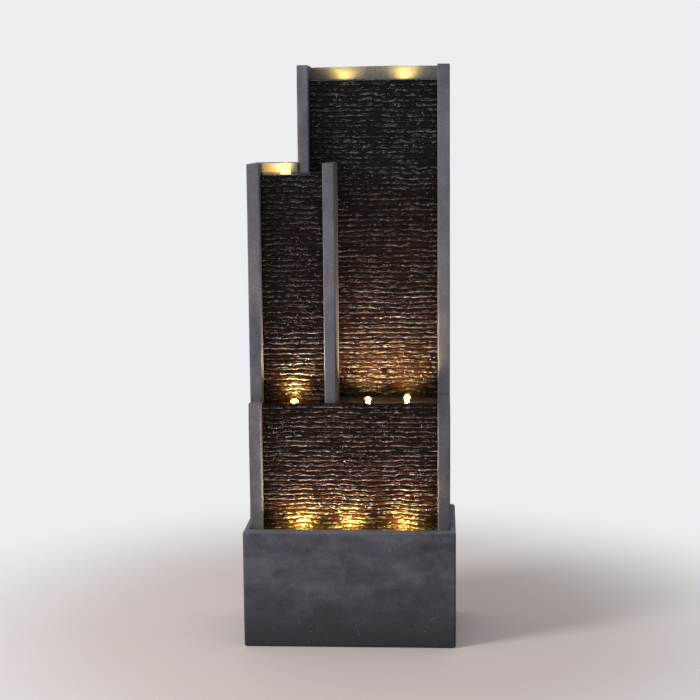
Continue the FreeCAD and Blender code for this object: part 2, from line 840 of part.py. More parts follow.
# Back panel: an L-shaped plate with a rebated opening for the access door
back_panel_body = new_body("back_panel_body", "0", BACK_IN, "0", "back")
back_outline = new_sketch(back_panel_body, "back_outline")
BACK_FOOT = "(deck_height + fit_gap)"
draw_outline(back_outline, [
    (f"-{COLUMN_OUT}", f"-{BACK_FOOT}"),
    (COLUMN_OUT, f"-{BACK_FOOT}"),
    (COLUMN_OUT, "-tall_height"),
    (TALL_OUT, "-tall_height"),
    (TALL_OUT, "-short_height"),
    (f"-{COLUMN_OUT}", "-short_height"),
])
pad(back_panel_body, "back_plate", back_outline, "back_wall")
DOOR_TOP = "(door_bottom + door_height)"
door_opening = new_sketch(back_panel_body, "door_opening")
draw_rectangle(
    door_opening, "door_lap - door_width / 2", "door_width / 2 - door_lap",
    f"door_lap - {DOOR_TOP}", "-door_bottom - door_lap",
)
pocket(back_panel_body, "door_opening_cut", door_opening, "back_wall")
door_rebate = new_sketch(back_panel_body, "door_rebate")
draw_rectangle(
    door_rebate, "-door_width / 2 - fit_gap", "door_width / 2 + fit_gap",
    f"-{DOOR_TOP} - fit_gap", "fit_gap - door_bottom",
)
pocket(back_panel_body, "door_rebate_cut", door_rebate, "rebate_depth", "back_wall - rebate_depth")
SCREW_SPOTS = [
    (f"{across} * (door_width / 2 - screw_inset)", level)
    for across in (-1, 1)
    for level in ("(door_bottom + screw_inset)", f"({DOOR_TOP} - screw_inset)")
]
insert_holes = new_sketch(back_panel_body, "insert_holes")
for across, level in SCREW_SPOTS:
    draw_circle(insert_holes, across, f"-{level}", "insert_diameter")
pocket(back_panel_body, "insert_holes_cut", insert_holes, "back_wall - rebate_depth")
finish(back_panel_body, "back_panel")


def group(name, items, label):
    """Alike pieces that share one sub-part as separate solids."""
    item = doc.addObject("Part::Compound", name)
    item.Links = items
    return finish(item, label)


# Access door: a flush plate with captive screws and a gasket behind its edge
DOOR_THICKNESS = "(rebate_depth - gasket_thickness - fit_gap)"
door_body = new_body("door_body", "0", f"depth - {DOOR_THICKNESS}", "0", "back")
door_outline = new_sketch(door_body, "door_outline")
draw_rectangle(
    door_outline, "-door_width / 2", "door_width / 2", f"-{DOOR_TOP}", "-door_bottom"
)
pad(door_body, "door_plate", door_outline, DOOR_THICKNESS)
screw_holes = new_sketch(door_body, "screw_holes")
head_recesses = new_sketch(door_body, "head_recesses")
for across, level in SCREW_SPOTS:
    draw_circle(screw_holes, across, f"-{level}", "screw_diameter + 2 * running_gap")
    draw_circle(head_recesses, across, f"-{level}", "screw_head + 2 * running_gap")
pocket(door_body, "screw_holes_cut", screw_holes, DOOR_THICKNESS)
pocket(
    door_body, "head_recesses_cut", head_recesses, "screw_head_height",
    f"{DOOR_THICKNESS} - screw_head_height",
)
finish(door_body, "access_door")

gasket_body = new_body("gasket_body", "0", f"{DOOR_INNER} + fit_gap", "0", "back")
gasket_outline = new_sketch(gasket_body, "gasket_outline")
GASKET_IN = "(door_lap - gasket_inset)"
GASKET_OUT = f"({GASKET_IN} - gasket_width)"
for inset in (GASKET_OUT, GASKET_IN):
    draw_rectangle(
        gasket_outline, f"{inset} - door_width / 2", f"door_width / 2 - {inset}",
        f"{inset} - {DOOR_TOP}", f"-door_bottom - {inset}",
    )
pad(gasket_body, "gasket_ring", gasket_outline, "gasket_thickness")
finish(gasket_body, "door_gasket")

screws = []
inserts = []
for index, (across, level) in enumerate(SCREW_SPOTS, start=1):
    screw = revolved(f"door_screw_{index}", across, "depth", level, "back", [
        ("0", "-screw_length"),
        ("screw_diameter / 2", "-screw_length"),
        ("screw_diameter / 2", "-screw_head_height"),
        ("screw_head / 2", "-screw_head_height"),
        ("screw_head / 2", "0"),
        ("0", "0"),
    ])
    screws.append(screw)
    insert = revolved(f"door_insert_{index}", across, BACK_IN, level, "back", [
        ("screw_diameter / 2 + fit_gap", "0"),
        ("insert_diameter / 2", "0"),
        ("insert_diameter / 2", "back_wall - rebate_depth"),
        ("screw_diameter / 2 + fit_gap", "back_wall - rebate_depth"),
    ])
    inserts.append(insert)
group("door_screws", screws, "door_screws")
group("door_inserts", inserts, "door_inserts")

# Lamp housings and their glasses
for label, (x, setback, seat, stem) in LAMPS.items():
    housing = revolved(f"{label}_housing", x, setback, seat, "up", [
        ("0", "0"),
        ("stem_diameter / 2", "0"),
        ("stem_diameter / 2", stem),
        ("lamp_diameter / 2", stem),
        ("lamp_diameter / 2", f"{stem} + lamp_length"),
        ("lens_diameter / 2", f"{stem} + lamp_length"),
        ("lens_diameter / 2", f"{stem} + lamp_length - lens_seat"),
        ("0", f"{stem} + lamp_length - lens_seat"),
    ])
    finish(housing, label)


def lamp_glass(label):
    x, setback, seat, stem = LAMPS[label]
    foot = f"{seat} + {stem} + lamp_length - lens_seat"
    return revolved(f"{label}_glass", x, setback, foot, "up", [
        ("0", "0"),
        ("lens_diameter / 2", "0"),
        ("lens_diameter / 2", "lens_seat"),
        ("lens_diameter / 2 - lens_height + lens_seat", "lens_height"),
        ("0", "lens_height"),
    ])


for tier in ("basin", "middle", "short", "tall"):
    lenses = [lamp_glass(label) for label in LAMPS if label.startswith(tier)]
    if len(lenses) == 1:
        finish(lenses[0], f"{tier}_lamp_lens")
    else:
        group(f"{tier}_lenses", lenses, f"{tier}_lamp_lenses")

# Brackets that hold the basin's lamps just under its rim, on the front wall
brackets = []
for label in [label for label in LAMPS if label.startswith("basin")]:
    x, setback, seat, _ = LAMPS[label]
    left = f"{x} - bracket_width / 2"
    right = f"{x} + bracket_width / 2"
    shelf = box(
        f"{label}_shelf", left, right, "front_wall", f"{setback} + lamp_diameter / 2",
        f"{seat} - bracket_wall", seat,
    )
    leg = box(
        f"{label}_leg", left, right, "front_wall", "front_wall + bracket_wall",
        f"{seat} - bracket_height", seat,
    )
    shape = fuse(f"{label}_bracket_body", shelf, leg)
    holes = lead_holes("bracket_hole", f"{seat} - bracket_wall", "bracket_wall", label)
    brackets.append(cut(f"{label}_bracket", shape, *holes))
group("lamp_brackets", brackets, "lamp_brackets")

# Pump: a submersible block on suction cups; its turning parts lie on a line that runs back
pump_case = box(
    "pump_case", "pump_place - pump_width / 2", "pump_place + pump_width / 2", "pump_setback",
    PUMP_END, PUMP_LOW, f"{PUMP_LOW} + pump_height",
)
pump_case_y = (number("pump_setback - depth / 2"), number(f"{PUMP_END} - depth / 2"))
pump_soft = rounded(
    "pump_soft", pump_case, size.pump_round, lambda bounds: not near(bounds.YMin, pump_case_y[1])
)
SPIGOT_SETBACK = f"({VOLUTE_SETBACK} + volute_length / 2)"
PUMP_TOP = f"({PUMP_LOW} + pump_height)"
spigot = rod(
    "spigot", NOZZLE_NECK, "barb_length + plate_rebate", "pump_place", SPIGOT_SETBACK,
    f"{PUMP_TOP} - plate_rebate",
)
pump_mass = fuse("pump_mass", pump_soft, spigot)
plate_seat = rod(
    "plate_seat", "volute_diameter + 2 * plate_rebate", "plate_rebate", "pump_place",
    f"{PUMP_END} - plate_rebate", PUMP_AXIS, "back",
)
volute = rod(
    "volute", "volute_diameter", "volute_length", "pump_place", VOLUTE_SETBACK, PUMP_AXIS, "back"
)
rotor_bore = rod(
    "rotor_bore", "rotor_diameter + 2 * rotor_gap", "rotor_length", "pump_place", ROTOR_SETBACK,
    PUMP_AXIS, "back",
)
shaft_hole = rod(
    "shaft_hole", "shaft_diameter", "shaft_seat", "pump_place", f"{ROTOR_SETBACK} - shaft_seat",
    PUMP_AXIS, "back",
)
outlet_bore = rod(
    "outlet_bore", "barb_bore", f"{PUMP_TOP} + barb_length - {PUMP_AXIS}", "pump_place",
    SPIGOT_SETBACK, PUMP_AXIS,
)
pump_body = cut("pump_body", pump_mass, plate_seat, volute, rotor_bore, shaft_hole, outlet_bore)
finish(pump_body, "pump_body")

volute_plate = new_body(
    "volute_plate", "pump_place", f"{PUMP_END} - plate_rebate", PUMP_AXIS, "back"
)
plate_outline = new_sketch(volute_plate, "plate_outline")
draw_circle(plate_outline, "0", "0", "volute_diameter + 2 * plate_rebate - 2 * running_gap")
draw_circle(plate_outline, "0", "0", "eye_diameter")
pad(volute_plate, "plate_ring", plate_outline, "plate_rebate")
hub_outline = new_sketch(volute_plate, "hub_outline")
draw_circle(hub_outline, "0", "0", "hub_diameter")
pad(volute_plate, "plate_hub", hub_outline, "plate_rebate")
spoke_outline = new_sketch(volute_plate, "spoke_outline")
draw_rectangle(
    spoke_outline, "-spoke_width / 2", "spoke_width / 2", "-(eye_diameter / 2 + 1)",
    "eye_diameter / 2 + 1",
)
pad(volute_plate, "plate_spoke", spoke_outline, "plate_rebate")
hub_hole = new_sketch(volute_plate, "hub_hole")
draw_circle(hub_hole, "0", "0", "shaft_diameter")
pocket(volute_plate, "hub_hole_cut", hub_hole, "plate_rebate")
finish(volute_plate, "volute_plate")

shaft = rod(
    "shaft", "shaft_diameter", f"{PUMP_END} - {ROTOR_SETBACK} + shaft_seat", "pump_place",
    f"{ROTOR_SETBACK} - shaft_seat", PUMP_AXIS, "back",
)
finish(shaft, "impeller_shaft")

impeller = new_body(
    "impeller_body", "pump_place", f"{ROTOR_SETBACK} + rotor_gap", PUMP_AXIS, "back"
)
IMPELLER_BORE = "shaft_diameter + 2 * running_gap"
rotor_outline = new_sketch(impeller, "rotor_outline")
draw_circle(rotor_outline, "0", "0", "rotor_diameter")
draw_circle(rotor_outline, "0", "0", IMPELLER_BORE)
pad(impeller, "rotor", rotor_outline, "rotor_length")
disc_outline = new_sketch(impeller, "disc_outline")
draw_circle(disc_outline, "0", "0", "impeller_diameter")
draw_circle(disc_outline, "0", "0", IMPELLER_BORE)
pad(impeller, "impeller_disc", disc_outline, "impeller_disc", "rotor_length")
boss_outline = new_sketch(impeller, "boss_outline")
draw_circle(boss_outline, "0", "0", "hub_diameter")
draw_circle(boss_outline, "0", "0", IMPELLER_BORE)
DISC_END = "(rotor_length + impeller_disc)"
pad(impeller, "impeller_boss", boss_outline, "blade_height", DISC_END)
blade_outline = new_sketch(impeller, "blade_outline")
draw_rectangle(
    blade_outline, "hub_diameter / 2 - 1", "impeller_diameter / 2", "-blade_thickness / 2",
    "blade_thickness / 2",
)
blade = pad(impeller, "blade", blade_outline, "blade_height", DISC_END)
blades = impeller.newObject("PartDesign::PolarPattern", "blades")
blades.Originals = [blade]
blades.Axis = (blade_outline, ["N_Axis"])
blades.Angle = 360
bind(blades, "Occurrences", "blade_count")
impeller.Tip = blades
doc.recompute()
finish(impeller, "impeller")

# Strainer cover: a hollow cap on the pump's end with slots in its face, and a stud
cover = new_body("cover_body", "pump_place", PUMP_END, PUMP_AXIS, "back")
COVER_HALF = ("(pump_width / 2)", "(pump_height / 2)")
cover_outline = new_sketch(cover, "cover_outline")
draw_rectangle(
    cover_outline, f"-{COVER_HALF[0]}", COVER_HALF[0], f"-{COVER_HALF[1]}", COVER_HALF[1]
)
pad(cover, "cover_block", cover_outline, "cover_length")
cover_inside = new_sketch(cover, "cover_inside")
draw_rectangle(
    cover_inside, f"cover_wall - {COVER_HALF[0]}", f"{COVER_HALF[0]} - cover_wall",
    f"cover_wall - {COVER_HALF[1]}", f"{COVER_HALF[1]} - cover_wall",
)
pocket(cover, "cover_inside_cut", cover_inside, "cover_length - cover_wall")
stud_outline = new_sketch(cover, "stud_outline")
draw_circle(stud_outline, "0", "0", "dial_pin")
pad(cover, "dial_stud", stud_outline, "dial_pin_height + fit_gap", "cover_length")


def slot_ring(body, name, depth, start):
    """A ring of straight slots round the axis."""
    slot = new_sketch(body, f"{name}_slot")
    draw_rectangle(
        slot, "slot_orbit - slot_length / 2", "slot_orbit + slot_length / 2 - 1",
        "-slot_width / 2", "slot_width / 2",
    )
    first = pocket(body, f"{name}_slot_cut", slot, depth, start)
    ring = body.newObject("PartDesign::PolarPattern", f"{name}_slots")
    ring.Originals = [first]
    ring.Axis = (slot, ["N_Axis"])
    ring.Angle = 360
    bind(ring, "Occurrences", "slot_count")
    body.Tip = ring
    doc.recompute()


slot_ring(cover, "cover", "cover_wall", "cover_length - cover_wall")
finish(cover, "pump_cover")

dial = new_body("dial_body", "pump_place", f"{COVER_END} + fit_gap", PUMP_AXIS, "back")
dial_outline = new_sketch(dial, "dial_outline")
draw_circle(dial_outline, "0", "0", "dial_diameter")
draw_circle(dial_outline, "0", "0", "dial_pin + 2 * running_gap")
pad(dial, "dial_disc", dial_outline, "dial_thickness")
grip_outline = new_sketch(dial, "grip_outline")
draw_rectangle(
    grip_outline, "-slot_width / 2", "slot_width / 2", "slot_orbit + slot_width / 2",
    "dial_diameter / 2 - 1",
)
pad(dial, "dial_grip", grip_outline, "grip_height", "dial_thickness - 1")
slot_ring(dial, "dial", "dial_thickness", "0")
finish(dial, "flow_dial")

cups = []
for across in (-1, 1):
    for row_name, cup_setback in (
        ("front", "(pump_setback + cup_inset)"), ("rear", f"({PUMP_END} - cup_inset)")
    ):
        side_name = "left" if across < 0 else "right"
        cup_x = f"pump_place + {across} * (pump_width / 2 - cup_inset)"
        cup = revolved(f"cup_{side_name}_{row_name}", cup_x, cup_setback, "floor_wall", "up", [
            ("0", "2"),
            ("cup_diameter / 2 - 2", "0"),
            ("cup_diameter / 2", "0"),
            ("cup_diameter / 4", "cup_height - 2"),
            ("cup_diameter / 4", "cup_height"),
            ("0", "cup_height"),
        ])
        cups.append(cup)
group("pump_cups", cups, "pump_suction_cups")

# Tee: water comes up from below and leaves to the top and to the left
BARB_REACH = "(tee_body_length / 2 + barb_length)"
tee_mass = fuse(
    "tee_mass",
    rod("tee_run", NOZZLE_NECK, f"2 * {BARB_REACH}", "pump_place", "hose_setback",
        f"tee_height - {BARB_REACH}"),
    rod("tee_core", "tee_body", "tee_body_length", "pump_place", "hose_setback",
        "tee_height - tee_body_length / 2"),
    rod("tee_side", "tee_body", "tee_body_length / 2", "pump_place", "hose_setback", "tee_height",
        "left"),
    rod("tee_arm", NOZZLE_NECK, BARB_REACH, "pump_place", "hose_setback", "tee_height", "left"),
)
tee = cut(
    "tee", tee_mass,
    rod("tee_bore", "barb_bore", f"2 * {BARB_REACH}", "pump_place", "hose_setback",
        f"tee_height - {BARB_REACH}"),
    rod("tee_arm_bore", "barb_bore", BARB_REACH, "pump_place", "hose_setback", "tee_height",
        "left"),
)
finish(tee, "hose_tee")

# Inlet nozzles: each is a flanged barb through its trough's floor
for label, x, setback, seat in (
    ("short_nozzle", "short_pipe_place", "short_pipe_setback", "short_floor"),
    ("tall_nozzle", "pump_place", "hose_setback", "tall_floor"),
):
    nozzle = revolved(f"{label}_body", x, setback, seat, "up", [
        ("barb_bore / 2", "-trough_wall - barb_length"),
        (f"{NOZZLE_NECK} / 2", "-trough_wall - barb_length"),
        (f"{NOZZLE_NECK} / 2", "0"),
        ("nozzle_flange / 2", "0"),
        ("nozzle_flange / 2", "nozzle_flange_height"),
        ("barb_bore / 2", "nozzle_flange_height"),
    ])
    finish(nozzle, label)

# Hoses between the pump, the tee and the nozzles
spigot_setback = number(SPIGOT_SETBACK)
pump_top = number(PUMP_TOP)
tee_half = size.tee_body_length / 2
short_under = number(SHORT_UNDER)
tall_under = number(TALL_UNDER)
HOSES = {
    "riser_hose": [
        at(size.pump_place, spigot_setback, pump_top),
        at(size.pump_place, spigot_setback, size.riser_offset_low),
        at(size.pump_place, size.hose_setback, size.riser_offset_high),
        at(size.pump_place, size.hose_setback, size.tee_height - tee_half),
    ],
    "tall_hose": [
        at(size.pump_place, size.hose_setback, size.tee_height + tee_half),
        at(size.pump_place, size.hose_setback, tall_under),
    ],
    "short_hose": [
        at(size.pump_place - tee_half, size.hose_setback, size.tee_height),
        at(size.short_pipe_place, size.hose_setback, size.tee_height),
        at(size.short_pipe_place, size.hose_setback, size.short_pipe_low),
        at(size.short_pipe_place, size.short_pipe_setback, size.short_pipe_high),
        at(size.short_pipe_place, size.short_pipe_setback, short_under),
    ],
}
for label, points in HOSES.items():
    hose = tube(points, size.hose_diameter, size.hose_bore, size.hose_bend)
    free_form(f"{label}_shape", [hose], label)

# Clamps: one band on each end of each hose
clamps = []
for points in HOSES.values():
    for end, inner in ((points[0], points[1]), (points[-1], points[-2])):
        heading = (Vector(*inner) - Vector(*end)).normalize()
        start = Vector(*end) + heading * size.clamp_inset
        radius = size.hose_diameter / 2
        band = Part.makeCylinder(radius + size.clamp_thickness, size.clamp_width, start, heading)
        clamps.append(band.cut(Part.makeCylinder(radius, size.clamp_width, start, heading)))
free_form("clamps_shape", clamps, "hose_clamps")

# Junction box on the right column inside, with its lid towards the middle
BOX_RIGHT = BAY_EDGE
BOX_LEFT = f"({BOX_RIGHT} - box_width)"
BOX_BACK = "(box_setback + box_length)"
BOX_TOP = "(box_low + box_height)"
box_shell = box(
    "box_shell", f"{BOX_LEFT} + box_lid", BOX_RIGHT, "box_setback", BOX_BACK, "box_low", BOX_TOP
)
box_inside = box(
    "box_inside", f"{BOX_LEFT} + box_lid", f"{BOX_RIGHT} - box_wall", "box_setback + box_wall",
    f"{BOX_BACK} - box_wall", "box_low + box_wall", f"{BOX_TOP} - box_wall",
)
finish(cut("junction_box_cut", box_shell, box_inside), "junction_box")
box_cap = box(
    "box_cap", BOX_LEFT, f"{BOX_LEFT} + box_lid", "box_setback", BOX_BACK, "box_low", BOX_TOP
)
finish(box_cap, "junction_box_lid")

# Leads: each leaves its lamp or the pump, keeps to its own level and lane, and ends on the box
lane = [number(BOX_LEFT) + size.lead_inset + size.lead_pitch * index for index in range(4)]
box_top = number(BOX_TOP)
middle_under = number(MIDDLE_UNDER)
front_row = size.box_setback + size.front_row_gap
rear_row = number(TALL_ROW)
low_row = size.box_setback + size.low_row_gap


def lamp_foot(label):
    x, setback, seat, _ = LAMPS[label]
    return number(x), number(setback), number(seat)


def level_lead(label, level, lane_x, across_setback, end_setback, end_height):
    """Down from the lamp, back to its own line, right to its lane, back and on to the box."""
    x, setback, seat = lamp_foot(label)
    points = [(x, setback, seat), (x, setback, level)]
    if not near(setback, across_setback):
        points.append((x, across_setback, level))
    points += [(lane_x, across_setback, level), (lane_x, end_setback, level)]
    points.append((lane_x, end_setback, end_height))
    return [at(*point) for point in points]


basin_leads = []
middle_leads = []
SPOTS = (("left", "left"), ("middle", "centre"), ("right", "right"))
for index, (basin_spot, middle_spot) in enumerate(SPOTS):
    basin_leads.append(level_lead(
        f"basin_lamp_{basin_spot}",
        size.floor_wall + size.lead_floor_gap + size.lead_floor_step * index, lane[index],
        number(LOWER_BACK) + size.lead_panel_gap + size.lead_step * index, low_row, size.box_low,
    ))
    middle_lamp = f"middle_lamp_{middle_spot}"
    middle_leads.append(level_lead(
        middle_lamp, middle_under - size.lead_under_gap + size.lead_step * index, lane[index],
        lamp_foot(middle_lamp)[1], front_row, box_top,
    ))
x, setback, seat = lamp_foot("short_lamp")
upper_level = short_under - size.short_lead_drop
lower_level = middle_under - size.short_lead_gap
before_box = size.box_setback - size.short_lead_clear
short_lead = [
    at(*point) for point in (
        (x, setback, seat), (x, setback, upper_level), (x, rear_row, upper_level),
        (x, rear_row, lower_level), (x, before_box, lower_level), (lane[0], before_box, lower_level),
        (lane[0], rear_row, lower_level), (lane[0], rear_row, box_top),
    )
]
tall_leads = []
for index, label in enumerate(("tall_lamp_left", "tall_lamp_right")):
    x, setback, seat = lamp_foot(label)
    level = tall_under - size.tall_lead_drop + size.tall_lead_step * index
    lane_x = lane[index + 1]
    tall_leads.append([
        at(*point) for point in (
            (x, setback, seat), (x, setback, level), (lane_x, setback, level),
            (lane_x, setback, box_top),
        )
    ])
pump_right = number("pump_place + pump_width / 2")
pump_lead_setback = size.pump_setback + size.pump_lead_back
pump_lead_level = number(PUMP_LOW) + size.pump_lead_rise
pump_lead = [
    at(*point) for point in (
        (pump_right, pump_lead_setback, pump_lead_level),
        (lane[3], pump_lead_setback, pump_lead_level), (lane[3], low_row, pump_lead_level),
        (lane[3], low_row, size.box_low),
    )
]
for label, leads in (
    ("basin_lamp_leads", basin_leads), ("middle_lamp_leads", middle_leads),
    ("short_lamp_lead", [short_lead]), ("tall_lamp_leads", tall_leads), ("pump_lead", [pump_lead]),
):
    cables = [tube(points, size.cable_diameter, 0, size.cable_bend) for points in leads]
    free_form(f"{label}_shape", cables, label)

# Cable gland: a soft bush in the basin's back wall, above the water
gland = revolved("gland", "gland_place", "depth", "gland_level", "back", [
    ("gland_bore / 2", "-back_wall - gland_flange_height"),
    ("gland_flange / 2 - 1", "-back_wall - gland_flange_height"),
    ("gland_flange / 2 - 1", "-back_wall"),
    ("gland_neck / 2", "-back_wall"),
    ("gland_neck / 2", "-gland_flange_height"),
    ("gland_flange / 2", "-gland_flange_height"),
    ("gland_flange / 2", "0"),
    ("gland_bore / 2", "0"),
])
finish(gland, "cable_gland")

# Drain plug: pushed into the back wall near the floor
plug = revolved("plug", "drain_place", "depth", "drain_level", "back", [
    ("0", "-back_wall"),
    ("drain_bore / 2 - running_gap", "-back_wall"),
    ("drain_bore / 2 - running_gap", "-drain_flange_height"),
    ("drain_flange / 2", "-drain_flange_height"),
    ("drain_flange / 2", "0"),
    ("0", "0"),
])
finish(plug, "drain_plug")

# Checks, and one file for each sub-part
doc.recompute()
for item in doc.Objects:
    if "Invalid" in item.State or "Error" in item.State:
        raise RuntimeError(f"{item.Name} is {item.State}")
labels = [item.Label for item in parts]
if len(set(labels)) != len(labels):
    raise RuntimeError("two sub-parts share a name")
for item in parts:
    if item.Shape.isNull() or not item.Shape.isValid() or not item.Shape.Solids:
        raise RuntimeError(f"{item.Label} has no sound shape")
os.makedirs("parts", exist_ok=True)
for item in parts:
    item.Shape.exportStep(f"parts/{item.Label}.step")
    print(f"{item.Label}: {len(item.Shape.Solids)} solids, {item.Shape.Volume / 1000:.1f} cm3")
print(len(parts), "sub-parts")
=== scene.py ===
import math

import bmesh
import bpy
import numpy as np
from mathutils import Matrix, Vector


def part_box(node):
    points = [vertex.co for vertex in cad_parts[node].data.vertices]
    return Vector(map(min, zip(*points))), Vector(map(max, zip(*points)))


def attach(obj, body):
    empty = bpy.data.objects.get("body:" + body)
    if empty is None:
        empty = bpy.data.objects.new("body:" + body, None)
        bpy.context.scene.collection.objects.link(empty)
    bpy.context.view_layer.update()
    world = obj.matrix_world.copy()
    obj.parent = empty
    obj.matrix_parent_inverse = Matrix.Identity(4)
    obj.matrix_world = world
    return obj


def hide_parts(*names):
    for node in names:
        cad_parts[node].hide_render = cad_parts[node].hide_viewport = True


# A lit garden wall fountain: wet rippled panels between cast stone columns, above a basin.
# Metres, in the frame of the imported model. Lengths in the dictionaries are millimetres, except
# the camera's and the studio's, which are metres.

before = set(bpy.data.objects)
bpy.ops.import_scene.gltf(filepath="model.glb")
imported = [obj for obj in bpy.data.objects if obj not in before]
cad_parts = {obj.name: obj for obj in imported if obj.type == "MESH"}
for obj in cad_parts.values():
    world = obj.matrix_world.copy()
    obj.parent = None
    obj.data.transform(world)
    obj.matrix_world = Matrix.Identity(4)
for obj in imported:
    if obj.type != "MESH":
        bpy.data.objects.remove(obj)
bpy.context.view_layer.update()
print("frame loaded")

mm = 0.001
rootBody = "fountain"
halfDepth = 120          # a setback is measured back from the basin's front face
scene = bpy.context.scene
scene.view_settings.view_transform = "Standard"


# colours are written as sRGB hex and turned to linear here
def toLinear(hexText):
    channels = [int(hexText[i:i + 2], 16) / 255 for i in (1, 3, 5)]
    linear = [c / 12.92 if c <= 0.04045 else ((c + 0.055) / 1.055) ** 2.4 for c in channels]
    return (*linear, 1.0)


# adds a node: an input gets a value or the socket that feeds it
def addNode(tree, kind, inputs=None, **properties):
    node = tree.nodes.new(kind)
    for name, value in properties.items():
        setattr(node, name, value)
    for name, value in (inputs or {}).items():
        if isinstance(value, bpy.types.NodeSocket):
            tree.links.new(value, node.inputs[name])
        else:
            node.inputs[name].default_value = value
    return node


def newMaterial(name):
    material = bpy.data.materials.new(name)
    material.use_nodes = True
    material.node_tree.nodes.clear()
    return material, material.node_tree


# value noise from an integer hash, between -1 and 1, the same on every run
def smoothNoise(x, y, seed):
    cellX, cellY = np.floor(x).astype(np.int64), np.floor(y).astype(np.int64)
    partX, partY = x - cellX, y - cellY
    easeX, easeY = partX * partX * (3 - 2 * partX), partY * partY * (3 - 2 * partY)

    def corner(stepX, stepY):
        mixed = (cellX + stepX) * 374761393 + (cellY + stepY) * 668265263 + seed * 974711
        mixed = mixed & 0xFFFFFFFF
        mixed = ((mixed ^ (mixed >> 13)) * 1274126177) & 0xFFFFFFFF
        return ((mixed ^ (mixed >> 16)) & 0xFFFF) / 65535.0

    low = corner(0, 0) * (1 - easeX) + corner(1, 0) * easeX
    high = corner(0, 1) * (1 - easeX) + corner(1, 1) * easeX
    return (low * (1 - easeY) + high * easeY) * 2 - 1


# the same noise with cells of a stated width and height
def noiseOver(x, y, span, seed):
    return smoothNoise(x / span[0], y / span[1], seed)


# the corner numbers of a grid's points, and the faces between them
def gridFaces(across, up):
    index = np.arange(across * up).reshape(up, across)
    quads = np.stack([index[:-1, :-1], index[:-1, 1:], index[1:, 1:], index[1:, :-1]], -1)
    return index, quads.reshape(-1, 4).tolist()


# a mesh whose first faces are smooth, or all of them when no number is given
def newMesh(name, points, faces, smoothCount=None):
    mesh = bpy.data.meshes.new(name)
    mesh.from_pydata(points, [], faces)
    smoothCount = len(faces) if smoothCount is None else smoothCount
    mesh.polygons.foreach_set("use_smooth", [i < smoothCount for i in range(len(faces))])
    return mesh


# puts a finished mesh into the scene as a piece of the fountain
def addPiece(name, mesh, material, nodes=(), body=rootBody):
    piece = bpy.data.objects.new(name, mesh)
    scene.collection.objects.link(piece)
    mesh.materials.clear()
    mesh.materials.append(material)
    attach(piece, body)
    if nodes:
        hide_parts(*nodes)
    return piece


# camera, fitted to the photograph's corners
cameraLook = {
    "place": (0.1745, -3.0145, 0.9696),
    "turn": -3.342,      # degrees to the right
    "tip": 7.812,        # degrees down
    "roll": -0.502,      # degrees
    "lens": 81.18, "sensor": 36,      # focal length and width of the sensor, in millimetres
    "farEnd": 50,
}


def placeCamera(look):
    turn, tip, roll = (math.radians(look[key]) for key in ("turn", "tip", "roll"))
    ahead = Vector((math.sin(turn) * math.cos(tip), math.cos(turn) * math.cos(tip), -math.sin(tip)))
    right = Vector((math.cos(turn), -math.sin(turn), 0))
    up = right.cross(ahead)
    rolledRight = right * math.cos(roll) + up * math.sin(roll)
    rolledUp = up * math.cos(roll) - right * math.sin(roll)
    data = bpy.data.cameras.new("photoCamera")
    data.lens = look["lens"]
    data.sensor_width = look["sensor"]
    data.sensor_fit = "HORIZONTAL"
    data.clip_end = look["farEnd"]
    camera = bpy.data.objects.new("photoCamera", data)
    scene.collection.objects.link(camera)
    matrix = Matrix((rolledRight, rolledUp, -ahead)).transposed().to_4x4()
    matrix.translation = Vector(look["place"])
    camera.matrix_world = matrix
    scene.camera = camera


placeCamera(cameraLook)
print("camera placed")


